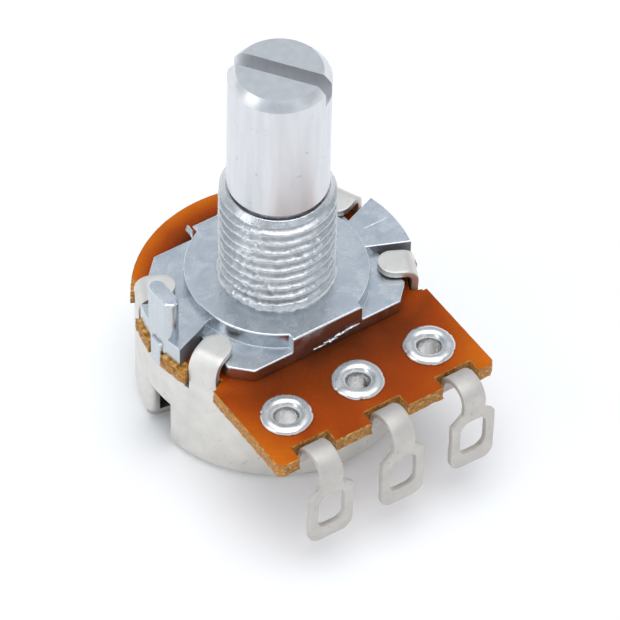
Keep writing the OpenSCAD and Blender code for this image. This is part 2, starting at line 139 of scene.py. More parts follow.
class WaferSizes(bpy.types.PropertyGroup):
    radius: size("Radius", "Radius of the wafer's round edge", 8.64)
    apron_half: size("Apron half width", "Half width of the apron with the terminals", 7.55)
    apron_reach: size("Apron reach", "From the axis to the apron's front edge", 11.8)
    shoulder: size("Shoulder", "From the axis to the apron's rear shoulders", 4.7)
    hole: size("Centre hole", "Diameter of the centre hole", 7.8)
    notch_width: size("Notch width", "Width of each terminal notch", 2.45)
    notch_depth: size("Notch depth", "Depth of each terminal notch", 0.95)
    notch_shift: size("Notch shift", "Offset of the notches along the row", 0.12)
    roughness: size("Edge roughness", "Depth of the torn fibres on the sheared edge", 0.07)


class CanSizes(bpy.types.PropertyGroup):
    radius: size("Radius", "Outer radius of the can", 8.38)
    sheet: size("Sheet", "Thickness of the can's sheet", 0.4)
    bend: size("Bend", "Outer radius of the bend round the base", 0.8)
    tab_width: size("Tab width", "Width of each fold-over tab", 1.85)
    tab_angle: angle("Tab angle", "Angle of each tab from the side of the can", 25.5)
    tab_tip: size("Tab tip", "From the axis to each folded tab's tip", 6.03)
    fold: size("Tab fold", "Outer radius of each tab's fold", 0.75)
    window_height: size("Window height", "Height of the stop window above the base", 3.65)
    tongue: size("Tongue", "Length of the stop tongue inside the can", 0.65)


class TerminalSizes(bpy.types.PropertyGroup):
    pitch: size("Pitch", "Distance between neighbouring terminals", 5.0)
    row: size("Rivet row", "From the axis to the row of rivets", 8.64)
    sheet: size("Sheet", "Thickness of the terminal strip", 0.4)
    neck: size("Neck", "Width of a terminal's neck", 1.5)
    hook: size("Hook", "Outer radius of the bend over the wafer's edge", 1.35)
    lug_width: size("Lug width", "Width of the solder lug", 3.0)
    lug_length: size("Lug length", "Length of the lug's full-width part", 3.75)
    hole_width: size("Hole width", "Width of the wire hole", 1.75)
    hole_length: size("Hole length", "Length of the wire hole", 2.65)
    head_radius: size("Rivet head", "Outer radius of a rivet's rolled head", 1.58)
    head_height: size("Head height", "Height of a rivet's rolled head", 0.32)
    barrel: size("Rivet barrel", "Outer radius of a rivet's barrel", 1.0)
    eyelet: size("Rivet hole", "Radius of a rivet's hole", 0.63)


class Finishes(bpy.types.PropertyGroup):
    zinc: tint("Zinc", "Bluish grey skin of the casting", "#D6DCE2")
    zinc_bright: tint("Zinc, bright", "Bright patches on the casting", "#E8EBEE")
    thread: tint("Thread", "Duller skin of the cast thread", "#C3C6C9")
    thread_bright: tint("Thread, bright", "Rubbed crests of the thread", "#E6E7E7")
    shaft: tint("Shaft", "Turned metal of the shaft", "#DCDDDF")
    phenolic: tint("Phenolic", "Glossy face of the wafer", "#9C3F08")
    # Painted shade beside the plate and painted glow towards the rim, for the wafer's face
    phenolic_painted_shade: tint("Phenolic, painted shade", "The wafer's face away from its rim", "#572406")
    phenolic_painted_glow: tint("Phenolic, painted glow", "The wafer's face near its rim", "#D06C10")
    fibre: tint("Fibre", "Torn paper layers at the wafer's edge", "#C58A35")
    fibre_dark: tint("Fibre, dark", "Resin between the paper layers", "#7E4A16")
    fibre_pale: tint("Fibre, pale", "Ends of the torn paper fibres", "#E8CB92")
    can: tint("Can", "Plated steel of the can", "#DFDDD8")
    terminal: tint("Terminal", "Tinned strip of the terminals", "#CFCBC6")
    rivet: tint("Rivet", "Tinned brass of the rivets", "#DFDFDE")
    carbon: tint("Carbon", "Printed resistance track", "#26231F")
    silver: tint("Silver", "Printed silver ink", "#C9CBCC")
    rotor: tint("Rotor", "Black moulding compound", "#2E2C2A")
    bronze: tint("Bronze", "Phosphor bronze of the wiper", "#C9A24B")


class StudioSettings(bpy.types.PropertyGroup):
    floor: tint("Floor", "Colour of the studio floor", "#FAFAFA")
    sky: FloatProperty(name="Sky", description="Strength of the soft sky", default=1.07, min=0)
    key: FloatProperty(name="Key", description="Power of the key light", default=1.0, min=0)


GROUPS = {
    "pot_shaft": ShaftSizes, "pot_casting": CastingSizes, "pot_wafer": WaferSizes,
    "pot_can": CanSizes, "pot_terminal": TerminalSizes, "pot_finish": Finishes,
    "pot_studio": StudioSettings,
}


def tab_angles(can):
    """Directions of the four fold-over tabs in degrees; the one behind the lug is a bit off."""
    lean = math.degrees(can.tab_angle)
    return [lean, 180 - lean + 1.3, 180 + lean, 360 - lean]


def mm(group, name):
    """A size of a property group, in millimetres."""
    return getattr(group, name) / MM


# ---------------------------------------------------------------- shapes


def rough(points, grain, seed, stretch=(1, 1, 1)):
    """One signed noise value for each point; grain is the size of a lump in millimetres."""
    shift = Vector((seed * 17.3, seed * 5.1, seed * 9.7))
    scale = Vector(stretch) / grain
    return np.array([noise.noise(Vector(p) * scale + shift) for p in points])


def link(name, data):
    """Put a mesh, lamp or camera in the scene."""
    made = bpy.data.objects.new(name, data)
    bpy.context.scene.collection.objects.link(made)
    return made


def add_mesh(name, points, faces, sharp=35):
    """A piece from points, with its normals turned outwards. Shapes are made in millimetres."""
    mesh = bpy.data.meshes.new(name)
    mesh.from_pydata(np.asarray(points, float).tolist(), [], [list(map(int, f)) for f in faces])
    work = bmesh.new()
    work.from_mesh(mesh)
    bmesh.ops.remove_doubles(work, verts=work.verts, dist=0.002)
    bmesh.ops.recalc_face_normals(work, faces=work.faces)
    work.to_mesh(mesh)
    work.free()
    piece = link(name, mesh)
    soften(piece, sharp)
    return piece


def soften(piece, sharp):
    """Smooth shading, with edges steeper than an angle kept sharp."""
    piece.data.shade_smooth()
    piece.data.set_sharp_from_angle(angle=math.radians(sharp))


def even(piece):
    """Weight the shading by area, so that flats look flat between their eased edges."""
    piece.modifiers.new("even shading", "WEIGHTED_NORMAL").keep_sharp = True
    return settle(piece)


def settle(piece, sharp=None):
    """Replace a piece's mesh by what its modifiers make of it."""
    bpy.context.view_layer.update()
    done = bpy.data.meshes.new_from_object(
        piece.evaluated_get(bpy.context.evaluated_depsgraph_get())
    )
    piece.modifiers.clear()
    piece.data = done
    if sharp is not None:
        soften(piece, sharp)
    return piece


def combine(piece, others, operation):
    """Add the other solids to a piece, or cut them out of it."""
    for other in others:
        step = piece.modifiers.new(operation.lower(), "BOOLEAN")
        step.object, step.operation, step.solver = other, operation, "EXACT"
    settle(piece)
    for other in others:
        bpy.data.objects.remove(other)
    work = bmesh.new()
    work.from_mesh(piece.data)
    bmesh.ops.remove_doubles(work, verts=work.verts, dist=0.002)
    bmesh.ops.dissolve_degenerate(work, edges=work.edges, dist=0.001)
    bmesh.ops.holes_fill(work, edges=[e for e in work.edges if e.is_boundary], sides=12)
    bmesh.ops.triangulate(work, faces=[q for q in work.faces if len(q.verts) > 4])
    bmesh.ops.delete(work, geom=[e for e in work.edges if not e.link_faces], context="EDGES")
    bmesh.ops.delete(work, geom=[v for v in work.verts if not v.link_faces], context="VERTS")
    work.to_mesh(piece.data)
    work.free()
    return piece


def ease(piece, width, sharp=30, segments=2, limit=40):
    """Break a piece's sharp edges by a small rounded bevel."""
    step = piece.modifiers.new("eased edges", "BEVEL")
    step.width, step.segments, step.limit_method = width, segments, "ANGLE"
    step.angle_limit = math.radians(limit)
    return settle(piece, sharp)


def dense(loop, step):
    """A closed loop with points no further apart than step."""
    out = []
    for a, b in zip(loop, loop[1:] + loop[:1]):
        n = max(1, math.ceil(math.dist(a, b) / step))
        out += [(a[0] + (b[0] - a[0]) * k / n, a[1] + (b[1] - a[1]) * k / n) for k in range(n)]
    return out


def arc(x, y, r, start, end, n):
    """Points on an arc, with the angles in degrees."""
    return [
        (x + r * math.cos(math.radians(t)), y + r * math.sin(math.radians(t)))
        for t in np.linspace(start, end, n)
    ]


def ways(degrees):
    """Unit vectors along a direction and across it."""
    a = math.radians(degrees)
    return np.array((math.cos(a), math.sin(a))), np.array((-math.sin(a), math.cos(a)))


def weave(grid):
    """Faces between the neighbouring rows of a grid of point numbers."""
    return [
        (low[k], low[k + 1], high[k + 1], high[k])
        for low, high in zip(grid, grid[1:]) for k in range(len(low) - 1)
    ]


def inward(loop):
    """Unit vectors to the left of a closed loop at each of its points."""
    p = np.array(loop)
    d = np.roll(p, -1, 0) - np.roll(p, 1, 0)
    d /= np.maximum(np.linalg.norm(d, axis=1), 1e-9)[:, None]
    return np.stack([-d[:, 1], d[:, 0]], 1)


def punched(loops, levels, shift=None):
    """Points and faces of a sheet cut along closed loops: the outline anticlockwise, the holes
    clockwise. levels are (height, inset) pairs; shift moves the points of a loop at a level."""
    work = bmesh.new()
    ends = {0: [], len(levels) - 1: []}
    for index, loop in enumerate(loops):
        side = inward(loop)
        rows = []
        for z, inset in levels:
            flat = np.array(loop) + side * inset
            points = np.column_stack([flat, np.full(len(flat), z)])
            if shift is not None:
                points = shift(index, points, side, z)
            rows.append([work.verts.new(p) for p in points])
        for low, high in zip(rows, rows[1:]):
            for k in range(len(low)):
                j = (k + 1) % len(low)
                work.faces.new((low[k], low[j], high[j], high[k]))
        for key, edges in ends.items():
            row = rows[key]
            edges += [work.edges.get((v, row[(k + 1) % len(row)])) for k, v in enumerate(row)]
    for edges in ends.values():
        bmesh.ops.triangle_fill(work, edges=edges, use_beauty=True)
    work.verts.index_update()
    points = np.array([v.co for v in work.verts])
    faces = [[v.index for v in f.verts] for f in work.faces]
    work.free()
    return points, faces


def eased(low, high, edge):
    """The (height, inset) levels of a solid whose top and bottom rims are rounded."""
    quarter = np.linspace(0, math.pi / 2, 4)
    bends = [(edge * (1 - math.cos(t)), edge * (1 - math.sin(t))) for t in quarter]
    return [(low + z, i) for z, i in bends] + [(high - z, i) for z, i in reversed(bends)]


def block(name, outline, low, high, edge=0.0, step=0.3):
    """A solid between two heights, with its top and bottom rims eased."""
    levels = eased(low, high, edge) if edge else [(low, 0), (high, 0)]
    return add_mesh(name, *punched([dense(outline, step)], levels))


def bar(name, x0, x1, low, high):
    """A long square cutter across the shaft."""
    return block(name, [(x0, -4), (x1, -4), (x1, 4), (x0, 4)], low, high, step=9)


def lathe(profile, steps, ring=False, shape=None):
    """Points and faces of a profile of (radius, height) turned about the Z axis.
    A ring's profile is closed; any other starts and ends on the axis."""
    body = np.array(profile if ring else profile[1:-1], float)
    turn = np.linspace(0, 2 * math.pi, steps, endpoint=False)
    r = np.repeat(body[None, :, 0], steps, 0)
    z = np.repeat(body[None, :, 1], steps, 0)
    if shape is not None:
        r, z = shape(r, z, turn[:, None])
    points = np.stack([r * np.cos(turn)[:, None], r * np.sin(turn)[:, None], z], 2).reshape(-1, 3)
    n = len(body)
    faces = []
    for i in range(steps):
        j = (i + 1) % steps
        for k in range(n if ring else n - 1):
            m = (k + 1) % n
            faces.append((i * n + k, j * n + k, j * n + m, i * n + m))
    if not ring:
        points = np.vstack([points, [0, 0, profile[0][1]], [0, 0, profile[-1][1]]])
        first, last = len(points) - 2, len(points) - 1
        for i in range(steps):
            j = (i + 1) % steps
            faces.append((first, i * n, j * n))
            faces.append((last, j * n + n - 1, i * n + n - 1))
    return points, faces


def lump(name, centre, radii, seed, grain=0.25, depth=0.5, detail=3):
    """A small ragged lump of metal."""
    work = bmesh.new()
    bmesh.ops.create_icosphere(work, subdivisions=detail, radius=1)
    points = np.array([v.co for v in work.verts])
    faces = [[v.index for v in f.verts] for f in work.faces]
    work.free()
    grown = points * np.array(radii)
    swell = 1 + depth * rough(grown, grain, seed)
    return add_mesh(name, grown * swell[:, None] + np.array(centre), faces, 60)


def house(piece, body, slot, finish, *nodes):
    """Bring a finished shape to the frame's metres, and give it its body, material and the nodes
    that it stands for; the slot argument is not used."""
    piece.data.transform(Matrix.Scale(MM, 4))
    if not piece.data.materials:
        piece.data.materials.append(finish)
    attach(piece, body)
    if nodes:
        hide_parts(*nodes)
    return piece


# ---------------------------------------------------------------- materials


def feed(tree, made, inputs):
    """Set a node's inputs: each is a value, a socket or a node, meaning its first output."""
    for key, value in inputs.items():
        if isinstance(value, bpy.types.Node):
            value = value.outputs[0]
        if isinstance(value, bpy.types.NodeSocket):
            tree.links.new(value, made.inputs[key])
        else:
            made.inputs[key].default_value = value


def put(tree, kind, inputs, stops=(), **settings):
    """Add a node with its settings and inputs. The stops of a colour ramp are (position, colour)
    pairs: the lowest, the highest, then those between them."""
    made = tree.nodes.new("ShaderNode" + kind)
    for key, value in settings.items():
        setattr(made, key, value)
    for number, (at, colour) in enumerate(stops):
        ramp = made.color_ramp.elements
        stop = ramp[number] if number < 2 else ramp.new(at)
        stop.position, stop.color = at, tuple(colour)
    feed(tree, made, inputs)
    return made


def start(name):
    """A new material, its node tree, shader and object coordinates."""
    made = bpy.data.materials.new(name)
    made.use_nodes = True
    tree = made.node_tree
    shader = next(n for n in tree.nodes if n.type == "BSDF_PRINCIPLED")
    return made, tree, shader, put(tree, "TexCoord", {}).outputs["Object"]


def grains(millimetres):
    """Texture scale at which one lump of noise is this big on the real piece."""
    return 1 / (millimetres * MM)


def zinc(name, dull, bright, low, high, pit, wall):
    """Die-cast zinc alloy as it leaves the mould: a bluish skin, cloudy where the metal flowed and
    chilled, with fine pits that make the gloss uneven, and with painted shade that darkens its
    upright walls by the factor wall."""
    made, tree, shader, place = start(name)
    flow = put(tree, "TexNoise",
               {"Vector": place, "Scale": grains(1.5), "Detail": 4, "Distortion": 0.8})
    fine = put(tree, "TexNoise",
               {"Vector": place, "Scale": grains(0.28), "Detail": 5, "Roughness": 0.65})
    patch = put(tree, "MapRange", {"Value": fine, "From Min": 0.38, "From Max": 0.72})
    cloud = put(tree, "MapRange", {"Value": flow, "From Min": 0.3, "From Max": 0.7})
    both = put(tree, "Math", {0: patch, 1: cloud}, operation="MULTIPLY")
    colour = put(tree, "Mix", {0: both, 6: tuple(dull), 7: tuple(bright)}, data_type="RGBA")
    gloss = put(tree, "MapRange", {"Value": cloud, "To Min": low, "To Max": high})
    wave = put(tree, "Bump", {"Height": flow, "Strength": 0.35, "Distance": 0.06 * MM})
    grain = put(tree, "Bump",
                {"Height": fine, "Strength": pit, "Distance": 0.03 * MM, "Normal": wave})
    # Painted shade: faces that stand upright are darkened by the factor wall
    facing = put(tree, "SeparateXYZ", {0: put(tree, "TexCoord", {}).outputs["Normal"]})
    upright = put(tree, "Math", {0: facing.outputs[2]}, operation="ABSOLUTE")
    painted_wall_shade = put(tree, "MapRange",
               {"Value": upright, "From Min": 0.1, "From Max": 0.6, "To Min": wall})
    skin = put(tree, "VectorMath", {0: colour.outputs[2], "Scale": painted_wall_shade}, operation="SCALE")
    feed(tree, shader, {"Base Color": skin, "Roughness": gloss, "Normal": grain, "Metallic": 1})
    return made


def turned_aluminium(f):
    """Turned aluminium: rings of fine tool marks, drawn at 0.07 mm so that they can show, and a
    faint cloudiness from handling."""
    made, tree, shader, place = start("turned aluminium, satin")
    x, y, z = put(tree, "SeparateXYZ", {0: place}).outputs
    flat = put(tree, "CombineXYZ", {0: x, 1: y})
    radius = put(tree, "VectorMath", {0: flat}, operation="LENGTH").outputs[1]
    along = put(tree, "Math", {0: radius, 1: z}, operation="ADD")
    marks = put(tree, "TexNoise", {"W": along, "Scale": grains(0.07), "Detail": 2},
                noise_dimensions="1D")
    streak = put(tree, "Mapping", {"Vector": place, "Scale": (1, 1, 0.12)})
    cloud = put(tree, "TexNoise", {"Vector": streak, "Scale": grains(0.5), "Detail": 4})
    speck = put(tree, "TexNoise", {"Vector": place, "Scale": grains(0.35), "Detail": 3})
    spots = put(tree, "MapRange", {"Value": speck, "From Min": 0.68, "From Max": 0.76,
                                   "To Min": 1, "To Max": 0.72})
    shade = put(tree, "MapRange", {"Value": cloud, "From Min": 0.3, "From Max": 0.7,
                                   "To Min": 0.93, "To Max": 1.03})
    tone = put(tree, "Math", {0: shade, 1: spots}, operation="MULTIPLY")
    colour = put(tree, "VectorMath", {0: tuple(f.shaft)[:3], "Scale": tone}, operation="SCALE")
    gloss = put(tree, "MapRange", {"Value": marks, "To Min": 0.26, "To Max": 0.42})
    bump = put(tree, "Bump", {"Height": marks, "Strength": 0.12, "Distance": 0.01 * MM})
    feed(tree, shader, {"Base Color": colour, "Roughness": gloss, "Normal": bump, "Metallic": 1})
    return made


def phenolic_face(f):
    """Phenolic paper laminate, pressed between polished plates: an amber resin skin with painted
    shade beside the plate and a painted orange glow towards the sheared rim, for light coming
    through it."""
    made, tree, shader, place = start("phenolic paper laminate, polished face")
    x, y = put(tree, "SeparateXYZ", {0: place}).outputs[:2]
    flat = put(tree, "CombineXYZ", {0: x, 1: y})
    radius = put(tree, "VectorMath", {0: flat}, operation="LENGTH").outputs[1]
    side = put(tree, "Math", {0: x}, operation="ABSOLUTE")
    frayed = put(tree, "TexNoise", {"Vector": place, "Scale": grains(0.4), "Detail": 5,
                                    "Roughness": 0.65, "Distortion": 0.5})
    ragged = put(tree, "Math", {0: frayed, 1: 0.9 * MM, 2: radius}, operation="MULTIPLY_ADD")
    # Each goes from 0 to its most while a length goes from one place to another, in millimetres
    front, flank, round_part, ring, outer, by_lug, behind = (
        put(tree, "MapRange", {"Value": value, "From Min": first * MM, "From Max": last * MM,
                               "To Max": most})
        for value, first, last, most in (
            (y, -5.3, -11, 0.5), (side, 4.6, 7.6, 0.42), (y, -7.5, -3, 1),
            (radius, 6.6, 8.4, 0.85), (ragged, 8.42, 8.5, 1), (x, -6.5, -6.9, 1),
            (y, -3.9, -3.6, 1),
        )
    )
    # Painted light and shade: these masks brighten the round rim and the apron's front and flanks
    # with a painted glow, and leave the face beside the plate in painted shade
    rim = put(tree, "Math", {0: ring, 1: round_part}, operation="MULTIPLY")
    apron = put(tree, "Math", {0: front, 1: flank}, operation="ADD")
    painted_glow = put(tree, "Math", {0: apron, 1: rim}, operation="MAXIMUM")
    cloud = put(tree, "TexNoise", {"Vector": place, "Scale": grains(2.6), "Detail": 3})
    drift = put(tree, "MapRange", {"Value": cloud, "To Min": -0.2, "To Max": 0.2})
    mix = put(tree, "Math", {0: painted_glow, 1: drift}, operation="ADD")
    # The ramp runs from the painted shade beside the plate, through the amber, to the painted glow
    # at the rim
    tone = put(tree, "ValToRGB", {0: mix},
               ((0, f.phenolic_painted_shade), (1, f.phenolic_painted_glow), (0.45, f.phenolic)))
    # Beside the locating lug the skin is torn off at the rim and the paper shows
    fibres = put(tree, "ValToRGB", {0: frayed},
                 ((0.36, f.fibre_dark), (0.66, f.fibre_pale), (0.5, f.fibre)))
    where = put(tree, "Math", {0: behind, 1: by_lug}, operation="MULTIPLY")
    torn = put(tree, "Math", {0: outer, 1: where}, operation="MULTIPLY")
    face = put(tree, "Mix", {0: torn, 6: tone, 7: fibres}, data_type="RGBA")
    paper = put(tree, "TexNoise", {"Vector": place, "Scale": grains(0.25), "Detail": 4})
    gloss = put(tree, "MapRange", {"Value": paper, "To Min": 0.2, "To Max": 0.34})
    bump = put(tree, "Bump", {"Height": paper, "Strength": 0.1, "Distance": 0.01 * MM})
    feed(tree, shader, {
        "Base Color": face.outputs[2], "Roughness": gloss, "Normal": bump, "IOR": 1.6,
        "Specular IOR Level": 0.07,
    })
    return made


def phenolic_edge(f):
    """The same laminate where it was sheared: torn paper layers, tan and yellow, in dark resin,
    each layer about 0.1 mm thick and broken along its length."""
    made, tree, shader, place = start("phenolic paper laminate, sheared edge")
    lay = put(tree, "Mapping", {"Vector": place, "Scale": (1, 1, 3.2)})
    layers = put(tree, "TexNoise", {"Vector": lay, "Scale": grains(0.42), "Detail": 5,
                                    "Roughness": 0.62, "Distortion": 0.4})
    mix = put(tree, "MapRange", {"Value": layers, "From Min": 0.36, "From Max": 0.62})
    colour = put(tree, "Mix", {0: mix, 6: tuple(f.fibre_dark), 7: tuple(f.fibre)},
                 data_type="RGBA").outputs[2]
    frayed = put(tree, "TexNoise", {"Vector": place, "Scale": grains(0.16), "Detail": 4,
                                    "Roughness": 0.7, "Distortion": 0.6})
    ends = put(tree, "MapRange", {"Value": frayed, "From Min": 0.54, "From Max": 0.68})
    tone = put(tree, "Mix", {0: ends, 6: colour, 7: tuple(f.fibre_pale)},
               data_type="RGBA").outputs[2]
    bump = put(tree, "Bump", {"Height": layers, "Strength": 0.7, "Distance": 0.08 * MM})
    feed(tree, shader, {
        "Base Color": tone, "Normal": bump, "Roughness": 0.5, "IOR": 1.55,
        "Specular IOR Level": 0.3, "Subsurface Weight": 0.2,
        "Subsurface Radius": (1.0, 0.45, 0.12), "Subsurface Scale": 0.3 * MM,
    })
    return made


def plated(name, colour, low, high, stretch, grain, depth):
    """Tin plate on pressed sheet: a pale warm satin, with faint marks along the way that the
    sheet was drawn or rolled and cloudy patches from handling."""
    made, tree, shader, place = start(name)
    way = put(tree, "Mapping", {"Vector": place, "Scale": stretch})
    drawn = put(tree, "TexNoise", {"Vector": way, "Scale": grains(grain), "Detail": 4})
    cloud = put(tree, "TexNoise", {"Vector": place, "Scale": grains(1.1), "Detail": 4})
    dust = put(tree, "TexNoise", {"Vector": place, "Scale": grains(0.3), "Detail": 2})
    marks = put(tree, "MapRange", {"Value": dust, "From Min": 0.66, "From Max": 0.78,
                                   "To Min": 1, "To Max": 0.78})
    shade = put(tree, "MapRange", {"Value": cloud, "From Min": 0.3, "From Max": 0.7,
                                   "To Min": 0.92, "To Max": 1.03})
    tone = put(tree, "Math", {0: shade, 1: marks}, operation="MULTIPLY")
    base = put(tree, "VectorMath", {0: tuple(colour)[:3], "Scale": tone}, operation="SCALE")
    gloss = put(tree, "MapRange", {"Value": drawn, "To Min": low, "To Max": high})
    bump = put(tree, "Bump", {"Height": drawn, "Strength": 0.2, "Distance": depth * MM})
    feed(tree, shader, {"Base Color": base, "Roughness": gloss, "Normal": bump, "Metallic": 1})
    return made


def inner(name, colour, metallic, low, high, grain, depth):
    """A print, moulding, spring or dull skin: one colour with a fine grain of its own size in the
    gloss, the tone and the surface."""
    made, tree, shader, place = start(name)
    fine = put(tree, "TexNoise", {"Vector": place, "Scale": grains(grain), "Detail": 4})
    tone = put(tree, "MapRange", {"Value": fine, "To Min": 0.75, "To Max": 1.2})
    base = put(tree, "VectorMath", {0: tuple(colour)[:3], "Scale": tone}, operation="SCALE")
    gloss = put(tree, "MapRange", {"Value": fine, "To Min": low, "To Max": high})
    bump = put(tree, "Bump", {"Height": fine, "Strength": 0.25, "Distance": depth * MM})
    feed(tree, shader, {
        "Base Color": base, "Roughness": gloss, "Normal": bump, "Metallic": metallic,
    })
    return made


# ---------------------------------------------------------------- pieces


class POT_OT_shaft(bpy.types.Operator):
    """Turn the shaft, saw its slot and mill the drive flats on its tail"""

    bl_idname = "pot.shaft"
    bl_label = "Slotted shaft"

    def execute(self, context):
        s, f = context.scene.pot_shaft, context.scene.pot_finish
        r, neck = mm(s, "diameter") / 2, mm(s, "neck") / 2
        drop, draw = mm(s, "chamfer_height"), mm(s, "chamfer_width")
        shoulder = mm(context.scene.pot_casting, "bushing_length") + 0.3
        tail, groove = neck - 0.4, neck - 0.55
        end = SHAFT_END
        rotor_top = WAFER_BOTTOM - 0.65
        # The chamfer is not quite straight: it swells a little in the middle
        chamfer = []
        for t in np.linspace(0, 1, 7):
            out = 0.022 * math.sin(math.pi * t) / math.hypot(drop, draw)
            chamfer.append((r - draw + draw * t + drop * out, end - drop * t + draw * out))
        profile = [(0, end)] + chamfer + [
            (r, shoulder + 0.06), (r - 0.06, shoulder),
            (neck, shoulder), (neck, RING_TOP), (groove, RING_TOP), (groove, RING_BOTTOM - 0.05),
            (neck, RING_BOTTOM - 0.05), (neck, rotor_top), (tail, rotor_top),
            (tail, ROTOR_BOTTOM), (tail + 0.3, ROTOR_BOTTOM), (tail + 0.3, SHAFT_TAIL),
            (0, SHAFT_TAIL),
        ]
        piece = add_mesh("turned_shaft", *lathe(profile, 144))
        w, depth = mm(s, "slot_width") / 2, mm(s, "slot_depth")
        flat = tail * 0.75
        combine(piece, [
            bar("slot", -w, w, end - depth, end + 1),
            bar("flat", flat, 4, ROTOR_BOTTOM, rotor_top),
            bar("flat", -4, -flat, ROTOR_BOTTOM, rotor_top),
        ], "DIFFERENCE")
        ease(piece, 0.035, sharp=22, limit=22)
        even(piece)
        piece.data.transform(Matrix.Rotation(s.turn, 4, "Z"))
        house(piece, "rotor_group", "shaft_metal", turned_aluminium(f), "shaft")
        return {"FINISHED"}


class POT_OT_bushing(bpy.types.Operator):
    """Cast the threaded bushing, with its helical thread, run-out and rough skin"""

    bl_idname = "pot.bushing"
    bl_label = "Threaded bushing"

    def execute(self, context):
        c, f = context.scene.pot_casting, context.scene.pot_finish
        r, length, bore = mm(c, "thread_diameter") / 2, mm(c, "bushing_length"), mm(c, "bore") / 2
        pitch, depth = mm(c, "thread_pitch"), mm(c, "thread_depth")
        rows = np.arange(0.0, length - 0.02, 0.044)
        outer = [(r - 0.25, PLATE_BOTTOM + 0.05), (r - 0.25, -0.15)] + [(r, z) for z in rows]
        rim = [
            (r - 0.46, length - 0.01), (r - 0.53, length), (bore + 0.08, length),
            (bore, length - 0.08),
        ]
        inside = [(bore, z) for z in np.linspace(length - 0.4, PLATE_BOTTOM, 12)]
        # The thread's rows within the profile
        first, last = 2, 2 + len(rows)

        def thread(radius, height, turn):
            """Cut the helical groove, with its run-out, and lay the rough skin over it."""
            z = height[:, first:last]
            phase = np.mod(z / pitch - turn / (2 * math.pi), 1.0)
            away = np.abs(phase - 0.5) * 2
            groove = np.clip((away - 0.1) / 0.72, 0, 1)
            groove = groove * groove * (3 - 2 * groove) * 0.35 + groove * 0.65
            fade_in = np.clip((length - 0.16 - z) / 0.15, 0, 1)
            fade_out = np.clip((z - 0.12) / 0.3, 0, 1)
            cut = depth * groove * fade_in * fade_out
            flat = np.stack([np.cos(turn) * r + z * 0, np.sin(turn) * r + z * 0, z], 2)
            flat = flat.reshape(-1, 3)
            skin = rough(flat, 0.45, 3, (1, 1, 1.6)) * 0.065 + rough(flat, 0.2, 4) * 0.045
            # Worst along the mould's parting line
            seam_at, seam_width = math.radians(221), 0.35
            seam = np.exp(-((turn - seam_at) / seam_width) ** 2)
            seam = (seam + z * 0).reshape(-1)
            worn = np.clip(rough(flat, 1.5, 5) * 2 + 0.6, 0.3, 1) + seam
            skin = (skin * worn).reshape(z.shape) * np.clip((length - 0.5 - z) / 0.8, 0.12, 1)
            chamfer = np.clip(z - (length - 0.42), 0, 1) * 1.15
            foot = 0.1 * np.exp(-(z / 0.1) ** 2)
            radius[:, first:last] = np.minimum(r - cut + skin - 0.02, r - chamfer) + foot
            return radius, height

        turned = lathe(outer + rim + inside, 260, ring=True, shape=thread)
        piece = add_mesh("threaded_bushing", *turned, sharp=60)
        # The last figure is the painted shade on the thread's upright faces
        skin = zinc(
            "die-cast zinc alloy, rough thread", f.thread, f.thread_bright, 0.22, 0.36, 0.8, 0.96
        )
        house(piece, "housing", "zinc_casting", skin)
        return {"FINISHED"}


